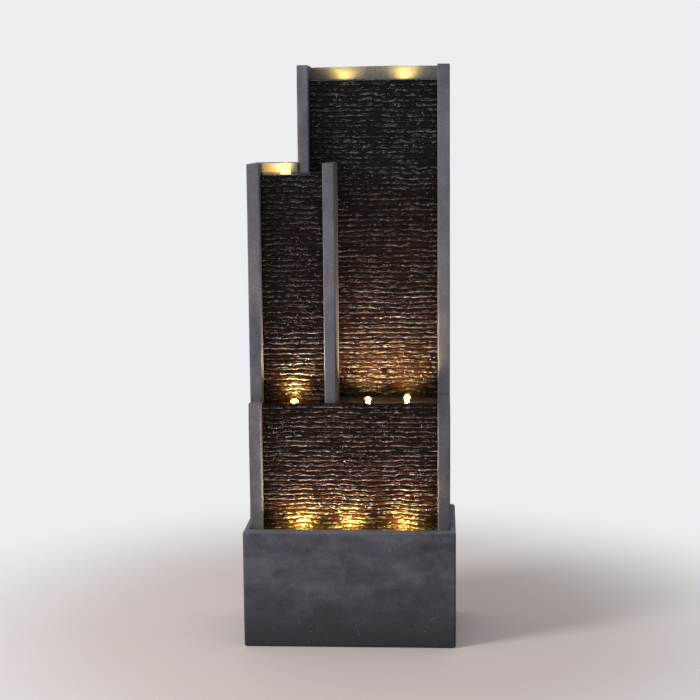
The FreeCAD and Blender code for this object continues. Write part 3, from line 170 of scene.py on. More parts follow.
# Cast stone resin, poured into a mould and washed with slate colour: matt and cloudy, with
# faint runs of the wash, a sandy grain, a few pale grains and small air pits; painted shade
# darkens the foot and the pits, and a painted highlight lightens the rim
def castStone(name, look):
    material, tree = newMaterial(name)
    place = addNode(tree, "ShaderNodeTexCoord").outputs["Object"]
    height = addNode(tree, "ShaderNodeSeparateXYZ", {0: place})
    spread = addNode(tree, "ShaderNodeMapping", {
        "Vector": place,
        "Scale": tuple(1000 / look["cloud"] / part for part in look["cloudSpread"]),
    })
    clouds = addNode(tree, "ShaderNodeTexNoise", {
        "Vector": spread.outputs[0], "Scale": 1.0,
        "Detail": 5.0, "Roughness": 0.62, "Distortion": 0.6,
    })
    patches = addNode(tree, "ShaderNodeTexNoise", {
        "Vector": place, "Scale": 1000 / look["patch"], "Detail": 4.0, "Roughness": 0.65,
    })
    stretched = addNode(tree, "ShaderNodeMapping", {
        "Vector": place,
        "Scale": (1000 / look["drip"], 1000 / look["drip"], 1000 / look["dripLength"]),
    })
    drips = addNode(tree, "ShaderNodeTexNoise", {
        "Vector": stretched.outputs[0], "Scale": 1.0, "Detail": 2.0,
    })
    cloudPart = addNode(tree, "ShaderNodeMapRange", {
        "Value": clouds.outputs["Fac"], "From Min": 0.34, "From Max": 0.66,
    })
    patchPart = addNode(tree, "ShaderNodeMapRange", {
        "Value": patches.outputs["Fac"], "From Min": 0.48, "From Max": 0.72,
        "To Max": look["patchShare"],
    })
    dripPart = addNode(tree, "ShaderNodeMapRange", {
        "Value": drips.outputs["Fac"], "From Min": 0.42, "From Max": 0.7,
        "To Max": look["dripShare"],
    })
    body = addNode(tree, "ShaderNodeMix", {
        0: cloudPart.outputs[0], 6: toLinear(look["dark"]), 7: toLinear(look["light"]),
    }, data_type="RGBA")
    washed = addNode(tree, "ShaderNodeMix", {
        0: patchPart.outputs[0], 6: body.outputs[2], 7: toLinear(look["bloom"]),
    }, data_type="RGBA")
    dripped = addNode(tree, "ShaderNodeMix", {
        0: dripPart.outputs[0], 6: washed.outputs[2], 7: toLinear(look["deep"]),
    }, data_type="RGBA")
    # painted shade: darker towards the ground
    footShadePart = addNode(tree, "ShaderNodeMapRange", {
        "Value": height.outputs[2], "From Min": 0.0, "From Max": look["footReach"] * mm,
        "To Min": look["footShade"], "To Max": 0.0,
    }, interpolation_type="SMOOTHSTEP")
    shaded = addNode(tree, "ShaderNodeMix", {
        0: footShadePart.outputs[0], 6: dripped.outputs[2], 7: toLinear(look["deep"]),
    }, data_type="RGBA")
    # painted highlight: the top of the rim is a little paler, where its rounded edge catches the
    # light
    rimHighlightPart = addNode(tree, "ShaderNodeMapRange", {
        "Value": height.outputs[2], "To Max": look["rimHighlightShare"],
        "From Min": look["rimFoot"] * mm, "From Max": look["rimTop"] * mm,
    }, interpolation_type="SMOOTHSTEP")
    rimHighlighted = addNode(tree, "ShaderNodeMix", {
        0: rimHighlightPart.outputs[0], 6: shaded.outputs[2], 7: toLinear(look["bloom"]),
    }, data_type="RGBA")
    # sandy mottle, drawn a little coarser than the sand itself so that it shows
    speckle = addNode(tree, "ShaderNodeTexNoise", {
        "Vector": place, "Scale": 1000 / look["mottle"], "Detail": 3.0, "Roughness": 0.7,
    })
    specklePart = addNode(tree, "ShaderNodeMapRange", {
        "Value": speckle.outputs["Fac"], "From Min": 0.3, "From Max": 0.7,
        "To Min": 1 - look["mottleShare"], "To Max": 1 + look["mottleShare"],
    })
    mottled = addNode(tree, "ShaderNodeVectorMath", {
        0: rimHighlighted.outputs[2], "Scale": specklePart.outputs[0],
    }, operation="SCALE")
    # spray keeps the faces that look to the middle wet, and so darker
    normal = addNode(tree, "ShaderNodeNewGeometry").outputs["Normal"]
    facing = addNode(tree, "ShaderNodeSeparateXYZ", {0: normal})
    side = addNode(tree, "ShaderNodeMath", {0: height.outputs[0]}, operation="SIGN")
    outward = addNode(tree, "ShaderNodeMath", {0: side.outputs[0], 1: facing.outputs[0]},
                      operation="MULTIPLY")
    wetPart = addNode(tree, "ShaderNodeMapRange", {
        "Value": outward.outputs[0], "From Min": -0.95, "From Max": -0.6,
        "To Min": 1 - look["innerWet"], "To Max": 1.0,
    })
    sprayed = addNode(tree, "ShaderNodeVectorMath", {
        0: mottled.outputs[0], "Scale": wetPart.outputs[0],
    }, operation="SCALE")
    # pale sand grains and air pits, each in a share of the cells of its own pattern; the pits' dark
    # colour is painted shade in their hollows
    grains = addNode(tree, "ShaderNodeTexVoronoi", {
        "Vector": place, "Scale": 1000 / look["grainGap"],
    })
    grainShare = addNode(tree, "ShaderNodeSeparateColor", {0: grains.outputs["Color"]})
    grainPick = addNode(tree, "ShaderNodeMath", {0: grainShare.outputs[0], 1: look["grainRare"]},
                        operation="GREATER_THAN")
    grainSpot = addNode(tree, "ShaderNodeMapRange", {
        "Value": grains.outputs["Distance"], "From Min": 0.09, "From Max": 0.13,
        "To Min": look["grainShare"], "To Max": 0.0,
    })
    grainDrift = addNode(tree, "ShaderNodeMapRange", {
        "Value": clouds.outputs["Fac"], "From Min": 0.46, "From Max": 0.56, "To Min": 0.15,
    })
    grainNear = addNode(tree, "ShaderNodeMath", {0: grainPick.outputs[0], 1: grainDrift.outputs[0]},
                        operation="MULTIPLY")
    grainPart = addNode(tree, "ShaderNodeMath", {0: grainNear.outputs[0], 1: grainSpot.outputs[0]},
                        operation="MULTIPLY")
    pits = addNode(tree, "ShaderNodeTexVoronoi", {"Vector": place, "Scale": 1000 / look["pitGap"]})
    pitShare = addNode(tree, "ShaderNodeSeparateColor", {0: pits.outputs["Color"]})
    pitPick = addNode(tree, "ShaderNodeMath", {0: pitShare.outputs[1], 1: look["pitRare"]},
                      operation="GREATER_THAN")
    pitSpot = addNode(tree, "ShaderNodeMapRange", {
        "Value": pits.outputs["Distance"], "From Min": 0.1, "From Max": 0.16,
        "To Min": 1.0, "To Max": 0.0,
    })
    pitPart = addNode(tree, "ShaderNodeMath", {0: pitPick.outputs[0], 1: pitSpot.outputs[0]},
                      operation="MULTIPLY")
    grained = addNode(tree, "ShaderNodeMix", {
        0: grainPart.outputs[0], 6: sprayed.outputs[0], 7: toLinear(look["grain"]),
    }, data_type="RGBA")
    pitShaded = addNode(tree, "ShaderNodeMix", {
        0: pitPart.outputs[0], 6: grained.outputs[2], 7: toLinear(look["pitShade"]),
    }, data_type="RGBA")
    sand = addNode(tree, "ShaderNodeTexNoise", {
        "Vector": place, "Scale": 1000 / look["sand"], "Detail": 3.0, "Roughness": 0.7,
    })
    trowel = addNode(tree, "ShaderNodeTexNoise", {
        "Vector": place, "Scale": 1000 / look["trowel"], "Detail": 2.0,
    })
    roughness = addNode(tree, "ShaderNodeMapRange", {
        "Value": patches.outputs["Fac"], "From Min": 0.3, "From Max": 0.7,
        "To Min": look["rough"][0], "To Max": look["rough"][1],
    })
    slow = addNode(tree, "ShaderNodeBump", {
        "Strength": look["trowelBump"], "Distance": look["trowelDepth"] * mm,
        "Height": trowel.outputs["Fac"],
    })
    fine = addNode(tree, "ShaderNodeBump", {
        "Strength": look["sandBump"], "Distance": look["sandDepth"] * mm,
        "Height": sand.outputs["Fac"], "Normal": slow.outputs[0],
    })
    hollow = addNode(tree, "ShaderNodeBump", {
        "Strength": look["pitBump"], "Distance": look["pitDepth"] * mm,
        "Height": pitPart.outputs[0], "Normal": fine.outputs[0],
    }, invert=True)
    shader = addNode(tree, "ShaderNodeBsdfPrincipled", {
        "Base Color": pitShaded.outputs[2], "Roughness": roughness.outputs[0],
        "Normal": hollow.outputs[0], "IOR": 1.5, "Specular IOR Level": 0.35,
    })
    addNode(tree, "ShaderNodeOutputMaterial", {0: shader.outputs[0]})
    return material


stoneLook = {
    "dark": "#39383f", "light": "#55555e", "bloom": "#727784", "deep": "#27262d",
    "grain": "#a9a8ae", "pitShade": "#1d1b1e",
    "cloud": 62, "cloudSpread": (1.9, 1.9, 1.0), "patch": 34, "patchShare": 0.42,
    "drip": 110, "dripLength": 20, "dripShare": 0.35,
    "footReach": 150, "footShade": 0.95,      # how high the painted shade at the foot reaches
    "rimFoot": 221, "rimTop": 225, "rimHighlightShare": 0.34,
    "mottle": 4, "mottleShare": 0.12,
    "grainGap": 6, "grainRare": 0.82, "grainShare": 0.8, "pitGap": 9, "pitRare": 0.96,
    "sand": 1.6, "sandBump": 0.5, "sandDepth": 0.35,
    "trowel": 24, "trowelBump": 0.5, "trowelDepth": 0.9, "pitBump": 0.8, "pitDepth": 0.8,
    "rough": (0.62, 0.82), "innerWet": 0.6,
}
upperLook = {      # away from the ground: no painted shade at the foot, no painted highlight on the rim
    **stoneLook, "footReach": 1, "footShade": 0.0, "rimHighlightShare": 0.0,
}
columnLook = {
    **upperLook, "dark": "#504f56", "light": "#66656d", "bloom": "#787a86", "deep": "#434248",
    "drip": 20, "dripLength": 120, "cloudSpread": (1, 1, 1.8), "patch": 26, "sandBump": 0.7,
    "mottle": 3.5, "mottleShare": 0.2, "grainRare": 0.9, "pitRare": 0.93,
}
backLook = {
    **upperLook, "dark": "#5a585c", "light": "#6b696c", "bloom": "#747379", "deep": "#4c4a4d",
    "drip": 20, "dripLength": 120, "pitGap": 6, "pitRare": 0.66, "mottleShare": 0.16,
}
troughLook = {
    **upperLook, "dark": "#37343a", "light": "#454249", "bloom": "#504d55", "deep": "#2b292d",
    "rough": (0.5, 0.7),
}
# a darker copy of the column finish for the right column: painted shade, where the light from the
# front left reaches it less
rightShadedLook = {
    **columnLook, "dark": "#3f3e45", "light": "#57565e", "bloom": "#6b6d79", "deep": "#37363b",
}
stoneFinish = castStone("castStoneResinSlateWashed", stoneLook)
rightShadedFinish = castStone("castStoneResinRightColumn", rightShadedLook)
columnFinish = castStone("castStoneResinColumns", columnLook)
backFinish = castStone("castStoneResinBack", backLook)
troughFinish = castStone("castStoneResinRawInside", troughLook)
print("stone finishes made")


# Cast pieces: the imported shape, cut into cells and given the slow unevenness of a hand finished
# mould. One field bends all of them, so that they still meet, and it only bends inwards.
castPieces = {
    "basin": {"finish": stoneFinish, "cell": 7},
    "lower_left_column": {"finish": columnFinish, "cell": 8},
    "lower_right_column": {"finish": rightShadedFinish, "cell": 8},
    "short_left_column": {"finish": columnFinish, "cell": 8},
    "divider_column": {"finish": columnFinish, "cell": 8},
    "tall_left_column": {"finish": columnFinish, "cell": 8},
    "tall_right_column": {"finish": columnFinish, "cell": 8},
    "short_hood": {"finish": backFinish, "cell": 8},
    "back_panel": {"finish": backFinish, "cell": 9},
}
castMesh = {"weld": 1e-6, "sharp": 32}      # metres and degrees
sway = {
    "slow": 0.5, "slowSpan": (95, 80),        # how far the field reaches, and its cells
    "quick": 0.3, "quickSpan": (24, 27),
    "sideSpan": 60, "faceSpan": 50,           # it turns round over these at the middle
    "foot": 12, "footSpan": 120,              # it leaves the foot level
    "seeds": (11, 23, 37),
}


def bendInwards(points):
    x, y, z = (points[:, i] / mm for i in range(3))
    side = np.clip(x / sway["sideSpan"], -1, 1)
    face = np.clip(y / sway["faceSpan"], -1, 1)
    rise = np.clip((z - sway["foot"]) / sway["footSpan"], 0, 1)

    def reach(a, b, seed):
        slow = 0.5 + 0.5 * noiseOver(a, b, sway["slowSpan"], seed)
        quick = 0.5 + 0.5 * noiseOver(a, b, sway["quickSpan"], seed + 5)
        return sway["slow"] * slow + sway["quick"] * quick

    moved = points.copy()
    moved[:, 0] -= side * reach(z, y, sway["seeds"][0]) * mm
    moved[:, 1] -= face * reach(x, z, sway["seeds"][1]) * mm
    moved[:, 2] -= rise * reach(x, y, sway["seeds"][2]) * mm
    return moved


# the wall behind the tall trough was trimmed by hand: it drops a little towards its ends
trim = {
    "left": -80, "width": 248, "leftDrop": 2.2, "leftCurve": 2.4, "rightDrop": 0.8, "rightCurve": 7,
    "foot": 1075, "height": 22,
}


def trimTop(points):
    along = np.clip((points[:, 0] / mm - trim["left"]) / trim["width"], 0, 1)
    drop = trim["leftDrop"] * (1 - along) ** trim["leftCurve"]
    drop += trim["rightDrop"] * along ** trim["rightCurve"]
    share = np.clip((points[:, 2] / mm - trim["foot"]) / trim["height"], 0, 1)
    points[:, 2] -= drop * share * mm
    return points


def castPiece(node, settings):
    work = bmesh.new()
    work.from_mesh(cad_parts[node].data)
    bmesh.ops.remove_doubles(work, verts=work.verts[:], dist=castMesh["weld"])
    low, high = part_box(node)
    for axis in range(3):
        count = round((high[axis] - low[axis]) / (settings["cell"] * mm))
        normal = [float(axis == i) for i in range(3)]
        for step in range(1, count):
            spot = [0.0, 0.0, 0.0]
            spot[axis] = low[axis] + (high[axis] - low[axis]) * step / count
            bmesh.ops.bisect_plane(
                work, geom=work.verts[:] + work.edges[:] + work.faces[:],
                dist=castMesh["weld"], plane_co=spot, plane_no=normal,
            )
    mesh = bpy.data.meshes.new(f"{node}_cast")
    work.to_mesh(mesh)
    work.free()
    points = np.zeros(len(mesh.vertices) * 3)
    mesh.vertices.foreach_get("co", points)
    moved = bendInwards(points.reshape(-1, 3))
    if node == "back_panel":
        moved = trimTop(moved)
    mesh.vertices.foreach_set("co", moved.ravel())
    mesh.polygons.foreach_set("use_smooth", [True] * len(mesh.polygons))
    mesh.set_sharp_from_angle(angle=math.radians(castMesh["sharp"]))
    addPiece(f"cast_{node}", mesh, settings["finish"], [node])


for nodeName, pieceSettings in castPieces.items():
    castPiece(nodeName, pieceSettings)
print("cast pieces made")


# Rippled resin under a running film of water: near black, browner below and slate where the wash
# is thick at the top, with pale flecks on the crests that are lime and painted highlight. Strands
# in the film break up its highlights
def wetResin(name, look):
    material, tree = newMaterial(name)
    place = addNode(tree, "ShaderNodeTexCoord").outputs["Object"]
    height = addNode(tree, "ShaderNodeSeparateXYZ", {0: place})
    washPart = addNode(tree, "ShaderNodeMapRange", {
        "Value": height.outputs[2],
        "From Min": look["washFoot"] * mm, "From Max": look["washTop"] * mm,
    }, interpolation_type="SMOOTHSTEP")
    stains = addNode(tree, "ShaderNodeTexNoise", {
        "Vector": place, "Scale": 1000 / look["stain"], "Detail": 4.0, "Roughness": 0.6,
    })
    stainPart = addNode(tree, "ShaderNodeMapRange", {
        "Value": stains.outputs["Fac"], "From Min": 0.35, "From Max": 0.7,
    })
    brown = addNode(tree, "ShaderNodeMix", {
        0: stainPart.outputs[0], 6: toLinear(look["dark"]), 7: toLinear(look["brown"]),
    }, data_type="RGBA")
    colour = addNode(tree, "ShaderNodeMix", {
        0: washPart.outputs[0], 6: brown.outputs[2], 7: toLinear(look["slate"]),
    }, data_type="RGBA")
    # thin pale flecks in level rows on the crests, lime and painted highlight, most of it where the
    # wash is thick
    lying = addNode(tree, "ShaderNodeMapping", {
        "Vector": place, "Scale": tuple(1000 / part for part in look["limeGrain"]),
    })
    lime = addNode(tree, "ShaderNodeTexNoise", {
        "Vector": lying.outputs[0], "Scale": 1.0, "Detail": 3.0, "Roughness": 0.7,
    })
    limeSpot = addNode(tree, "ShaderNodeMapRange", {
        "Value": lime.outputs["Fac"], "From Min": 0.42, "From Max": 0.66,
    })
    rise = addNode(tree, "ShaderNodeAttribute", attribute_name="rise")
    crest = addNode(tree, "ShaderNodeMapRange", {
        "Value": rise.outputs["Fac"], "From Min": 0.5, "From Max": 0.92,
    })
    limeLevel = addNode(tree, "ShaderNodeMapRange", {
        "Value": washPart.outputs[0],
        "To Min": look["limeHighlightShare"][0], "To Max": look["limeHighlightShare"][1],
    })
    limeHighlightCrest = addNode(tree, "ShaderNodeMath", {0: limeSpot.outputs[0], 1: crest.outputs[0]},
                        operation="MULTIPLY")
    limeHighlightPart = addNode(tree, "ShaderNodeMath", {0: limeHighlightCrest.outputs[0], 1: limeLevel.outputs[0]},
                       operation="MULTIPLY")
    limeHighlighted = addNode(tree, "ShaderNodeMix", {
        0: limeHighlightPart.outputs[0], 6: colour.outputs[2], 7: toLinear(look["lime"]),
    }, data_type="RGBA")
    # the film runs in narrow upright strands, which throw the lamps' light to the sides
    upright = addNode(tree, "ShaderNodeMapping", {
        "Vector": place,
        "Scale": (1000 / look["strand"], 1000 / look["strand"], 1000 / look["strandLength"]),
    })
    strands = addNode(tree, "ShaderNodeTexNoise", {
        "Vector": upright.outputs[0], "Scale": 1.0, "Detail": 2.0, "Roughness": 0.55,
    })
    beading = addNode(tree, "ShaderNodeTexNoise", {
        "Vector": place, "Scale": 1000 / look["bead"], "Detail": 1.0,
    })
    film = addNode(tree, "ShaderNodeBump", {
        "Strength": look["filmBump"], "Distance": look["filmDepth"] * mm,
        "Height": strands.outputs["Fac"],
    })
    beaded = addNode(tree, "ShaderNodeBump", {
        "Strength": look["beadBump"], "Distance": look["beadDepth"] * mm,
        "Height": beading.outputs["Fac"], "Normal": film.outputs[0],
    })
    roughness = addNode(tree, "ShaderNodeMapRange", {
        "Value": stains.outputs["Fac"], "From Min": 0.3, "From Max": 0.7,
        "To Min": look["rough"][0], "To Max": look["rough"][1],
    })
    shader = addNode(tree, "ShaderNodeBsdfPrincipled", {
        "Base Color": limeHighlighted.outputs[2], "Roughness": roughness.outputs[0],
        "Normal": beaded.outputs[0], "IOR": 1.5, "Specular IOR Level": look["gloss"],
        "Coat Weight": look["coat"], "Coat Roughness": 0.06, "Coat IOR": 1.33,
        "Coat Normal": beaded.outputs[0],
    })
    addNode(tree, "ShaderNodeOutputMaterial", {0: shader.outputs[0]})
    return material


wetLook = {
    "dark": "#0b0403", "brown": "#190b06", "slate": "#0e0d11", "washFoot": 830, "washTop": 940,
    "lime": "#9b9495", "limeGrain": (6, 6, 2.5), "limeHighlightShare": (0.38, 0.52),
    "stain": 26, "strand": 2.4, "strandLength": 8, "filmBump": 1.0, "filmDepth": 0.9,
    "bead": 1.6, "beadBump": 0.2, "beadDepth": 0.5,
    "rough": (0.09, 0.18), "gloss": 0.065, "coat": 0.025,
}
wetFinish = wetResin("castStoneResinWetRipples", wetLook)

# Ripple panels: rows of level ridges that wander, swell and fade, a fine grid in front of a slab
ripplePanels = {
    "lower_ripple_panel": {
        "pitch": 9.4, "seed": 3, "tongueFoot": 60, "beads": 560, "foot": 225,
        "lamps": ("basin_lamp_left", "basin_lamp_middle", "basin_lamp_right"),
    },
    "short_ripple_panel": {
        "pitch": 10, "seed": 17, "tongueFoot": 464.3, "beads": 220, "foot": 460, "beadFoot": 466,
        "lamps": ("middle_lamp_left",),
    },
    "tall_ripple_panel": {
        "pitch": 10, "seed": 29, "tongueFoot": 464.3, "beads": 400, "foot": 460, "beadFoot": 466,
        "lamps": ("middle_lamp_centre", "middle_lamp_right"),
    },
}
ripple = {
    "depth": 2.4, "stepAcross": 2.0, "stepUp": 0.7, "tongue": 8, "tongueReach": 5,
    # how far the ridges run up and down, and over what spans
    "wander": 1.6, "wanderSpan": (38, 55), "waver": 1.3, "waverSpan": (12, 12),
    "quiver": 1.0, "quiverSpan": (4.5, 6),
    "bow": 5, "bowWidth": 20, "bowReach": 60,
    # a ridge's section from one valley to the next, and the second crest on its slope
    "section": ((0, 0.12, 0.24, 0.6, 1), (0, 0.75, 1, 0.36, 0)),
    "secondSection": ((0.5, 0.62, 0.96), (0, 1, 0)),
    # how much a ridge stands out along its length, between its least and 1
    "strength": 0.78, "least": 0.1, "swell": 0.26, "swellSpan": (24, 12),
    "break": 0.34, "breakSpan": (5, 5),
    "second": 0.6, "film": 0.6, "filmSwell": 0.5, "filmSpan": (9, 7),
    # the smallest waves on all of it
    "wavelet": 0.096, "waveletSpan": (8, 2.8), "ruffle": 0.6, "ruffleSpan": (4, 1.9),
}


# how far the surface stands out, from 0 in a valley to 1 on a crest
def rippleRise(x, z, settings):
    seed = settings["seed"]
    shift = ripple["wander"] * noiseOver(x, z, ripple["wanderSpan"], seed)
    shift += ripple["waver"] * noiseOver(x, z, ripple["waverSpan"], seed + 1)
    shift += ripple["quiver"] * noiseOver(x, z, ripple["quiverSpan"], seed + 6)
    # the water wells up over a lamp, so the ridges bow round it
    above = np.maximum(z - settings["foot"], 0) / ripple["bowReach"]
    for lamp in settings["lamps"]:
        low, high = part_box(lamp)
        away = (x - (low.x + high.x) / 2 / mm) / ripple["bowWidth"]
        shift -= ripple["bow"] * np.exp(-away ** 2 - above)
    # each ridge has a short ledge below its crest and a long slope above it, and on the slope
    # the film makes a second, lower crest
    part = (z + shift) / settings["pitch"] % 1
    ridge = np.interp(part, *ripple["section"])
    second = np.interp(part, *ripple["secondSection"])
    strength = ripple["strength"] + ripple["swell"] * noiseOver(x, z, ripple["swellSpan"], seed + 2)
    strength += ripple["break"] * noiseOver(x, z, ripple["breakSpan"], seed + 7)
    film = ripple["film"] + ripple["filmSwell"] * noiseOver(x, z, ripple["filmSpan"], seed + 8)
    small = noiseOver(x, z, ripple["waveletSpan"], seed + 3)
    small += ripple["ruffle"] * noiseOver(x, z, ripple["ruffleSpan"], seed + 4)
    rise = ridge * np.clip(strength, ripple["least"], 1)
    rise += ripple["second"] * second * np.clip(film, 0, 1)
    return np.clip(rise + ripple["wavelet"] * small, 0, 1)


def ripplePanel(node, settings):
    low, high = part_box(node)
    left, right = low.x + ripple["tongueReach"] * mm, high.x - ripple["tongueReach"] * mm
    across = round((right - left) / mm / ripple["stepAcross"]) + 1
    up = round((high.z - low.z) / mm / ripple["stepUp"]) + 1
    gridX, gridZ = np.meshgrid(np.linspace(left, right, across), np.linspace(low.z, high.z, up))
    rise = rippleRise(gridX / mm, gridZ / mm, settings)
    gridY = low.y + ripple["depth"] * (1 - rise) * mm
    points = np.stack([gridX, gridY, gridZ], -1).reshape(-1, 3).tolist()
    index, faces = gridFaces(across, up)
    smoothCount = len(faces)
    back = len(points)
    for x, z in ((left, low.z), (right, low.z), (right, high.z), (left, high.z)):
        points.append((x, high.y, z))
    faces.append([back + 1, back, back + 3, back + 2])
    faces.append([back] + index[:, 0].tolist() + [back + 3])
    faces.append([back + 2] + index[::-1, -1].tolist() + [back + 1])
    faces.append([back + 1] + index[0, ::-1].tolist() + [back])
    faces.append([back + 3] + index[-1].tolist() + [back + 2])
    # the tongues that sit in the columns' grooves
    front = high.y - ripple["tongue"] * mm
    sides = ((3, 2, 1, 0), (4, 5, 6, 7), (0, 1, 5, 4), (1, 2, 6, 5), (2, 3, 7, 6), (3, 0, 4, 7))
    for inner, outer in ((left, low.x), (right, high.x)):
        start = len(points)
        near, far = sorted((inner, outer))
        for z in (settings["tongueFoot"] * mm, high.z):
            points += [(near, front, z), (far, front, z), (far, high.y, z), (near, high.y, z)]
        faces += [[start + corner for corner in corners] for corners in sides]
    mesh = newMesh(f"{node}_wet", points, faces, smoothCount)
    stored = mesh.attributes.new("rise", "FLOAT", "POINT")
    smooth = np.zeros(len(points))
    smooth[:rise.size] = rise.ravel()
    stored.data.foreach_set("value", smooth)
    addPiece(f"wet_{node}", mesh, wetFinish, [node])


for nodeName, pieceSettings in ripplePanels.items():
    ripplePanel(nodeName, pieceSettings)
print("ripple panels made")


# Water, standing or running: clear, with a mirror gloss at a flat angle
def clearWater(name, look):
    material, tree = newMaterial(name)
    place = addNode(tree, "ShaderNodeTexCoord").outputs["Object"]
    waves = addNode(tree, "ShaderNodeTexNoise", {
        "Vector": place, "Scale": 1000 / look["wave"], "Detail": 2.0,
    })
    bump = addNode(tree, "ShaderNodeBump", {
        "Strength": look["bump"], "Distance": 1.0 * mm, "Height": waves.outputs["Fac"],
    })
    shader = addNode(tree, "ShaderNodeBsdfPrincipled", {
        "Base Color": toLinear(look["colour"]), "Roughness": look["rough"],
        "Normal": bump.outputs[0], "IOR": 1.33, "Transmission Weight": look["clear"],
    })
    addNode(tree, "ShaderNodeOutputMaterial", {0: shader.outputs[0]})
    return material


waterFinish = clearWater("clearWaterStanding", {
    "colour": "#e9eef0", "rough": 0.03, "clear": 1.0, "wave": 9, "bump": 1.0,
})
# the drops are pale and nearly opaque: painted glints, where real drops would be clear
beadGlintFinish = clearWater("clearWaterBeads", {
    "colour": "#cfccce", "rough": 0.08, "clear": 0.1, "wave": 3, "bump": 0.1,
})

# Water in the basin, on the ledge and in the troughs; over a panel's top it curls down
waterSheets = {
    "water_basin": {
        "x": (-191.4, 191.4), "setback": (20.3, 227.7), "level": 205, "seed": 5, "wave": 0.9,
    },
    "water_ledge_front": {
        "x": (-167.2, 167.2), "setback": (57.0, 95.0), "level": 460.2, "seed": 6, "wave": 0.9,
        "lip": 4.5,
    },
    "water_ledge_right": {
        "x": (-26.9, 167.2), "setback": (95.0, 180.0), "level": 460.2, "seed": 6, "wave": 0.9,
    },
    "water_short": {
        "x": (-167.2, -49.2), "setback": (94.2, 144.5), "level": 894.2, "seed": 8, "wave": 0.4,
        "lip": 4.5,
    },
    "water_tall": {
        "x": (-79.2, 167.2), "setback": (177.2, 224.6), "level": 1072.2, "seed": 9, "wave": 0.4,
        "lip": 4.5,
    },
}
waterMesh = {
    "stepAcross": 4, "stepDeep": 2.5, "broad": 0.6, "broadSpan": (17, 9),
    "small": 0.5, "smallSpan": (7, 5), "smallSeed": 40, "lipDrop": 1.8, "lipCurve": 4,
}


def waterSheet(name, settings):
    left, right = settings["x"]
    front, back = settings["setback"]
    across = round((right - left) / waterMesh["stepAcross"]) + 1
    deep = round((back - front) / waterMesh["stepDeep"]) + 1
    gridX, gridS = np.meshgrid(np.linspace(left, right, across), np.linspace(front, back, deep))
    broad = noiseOver(gridX, gridS, waterMesh["broadSpan"], settings["seed"])
    small = noiseOver(gridX, gridS, waterMesh["smallSpan"], waterMesh["smallSeed"])
    swell = settings["wave"] * waterMesh["broad"] * (broad + waterMesh["small"] * small)
    gridZ = settings["level"] + swell
    if "lip" in settings:
        over = np.clip((front + settings["lip"] - gridS) / settings["lip"], 0, 1)
        gridZ -= swell * over + waterMesh["lipDrop"] * over ** waterMesh["lipCurve"]
    points = np.stack([gridX, gridS - halfDepth, gridZ], -1).reshape(-1, 3) * mm
    faces = gridFaces(across, deep)[1]
    addPiece(name, newMesh(name, points.tolist(), faces), waterFinish)


for sheetName, sheetSettings in waterSheets.items():
    waterSheet(sheetName, sheetSettings)
print("water made")

# Drops on the ripples: small upright beads, thicker in drifts, pale with painted glints
beads = {
    "radius": (0.2, 0.5), "mostlySmall": 2.5, "stretch": (1.0, 3.2), "tilt": 1.4, "sunk": 0.35,
    "sideGap": 8, "endGap": 4, "tries": 8,
    "driftSpan": (46, 52), "driftLean": 110, "driftCurve": 2.2,
}


def beadDrift(node, settings):
    picker = np.random.default_rng(settings["seed"])
    low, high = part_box(node)
    wanted = settings["beads"]
    tries = wanted * beads["tries"]
    x = picker.uniform(low.x / mm + beads["sideGap"], high.x / mm - beads["sideGap"], tries)
    z = picker.uniform(low.z / mm + beads["endGap"], high.z / mm - beads["endGap"], tries)
    # the upper panels' feet stand under the ledge's water
    if "beadFoot" in settings:
        keep = z > settings["beadFoot"]
        x, z = x[keep], z[keep]
    acrossSpan, upSpan = beads["driftSpan"]
    drift = smoothNoise(x / acrossSpan + z / beads["driftLean"], z / upSpan, settings["seed"] + 9)
    chance = (0.5 + 0.5 * drift) ** beads["driftCurve"]
    keep = picker.uniform(0, 1, len(x)) < chance
    x, z = x[keep][:wanted], z[keep][:wanted]
    least, most = beads["radius"]
    radius = least + (most - least) * picker.uniform(0, 1, len(x)) ** beads["mostlySmall"]
    rise = rippleRise(x, z, settings)
    y = low.y / mm + ripple["depth"] * (1 - rise) - radius * beads["sunk"]
    ball = bmesh.new()
    bmesh.ops.create_icosphere(ball, subdivisions=1, radius=1.0)
    shape = np.array([vertex.co[:] for vertex in ball.verts])
    ball.verts.index_update()
    corners = np.array([[vertex.index for vertex in face.verts] for face in ball.faces])
    ball.free()
    centres = np.stack([x, y, z], -1)
    stretch = picker.uniform(beads["stretch"][0], beads["stretch"][1], len(x))
    tilt = picker.uniform(-beads["tilt"], beads["tilt"], len(x))[:, None]
    scaled = shape[None] * radius[:, None, None]
    scaled[:, :, 2] *= stretch[:, None]
    leant = scaled.copy()
    leant[:, :, 0] = scaled[:, :, 0] * np.cos(tilt) + scaled[:, :, 2] * np.sin(tilt)
    leant[:, :, 2] = scaled[:, :, 2] * np.cos(tilt) - scaled[:, :, 0] * np.sin(tilt)
    points = (centres[:, None] + leant).reshape(-1, 3) * mm
    faces = (corners[None] + (np.arange(len(x)) * len(shape))[:, None, None]).reshape(-1, 3)
    mesh = newMesh(f"{node}_beads", points.tolist(), faces.tolist())
    addPiece(f"beads_{node}", mesh, beadGlintFinish)


for nodeName, pieceSettings in ripplePanels.items():
    beadDrift(nodeName, pieceSettings)
print("drops made")


# A moulded, turned or drawn piece of one material: its colour and gloss vary a little, and its
# grain runs along one axis where it was brushed or drawn
plainLook = {"stretch": (1, 1, 1), "cloud": 30, "depth": 0.15, "metal": 0.0, "ior": 1.5}


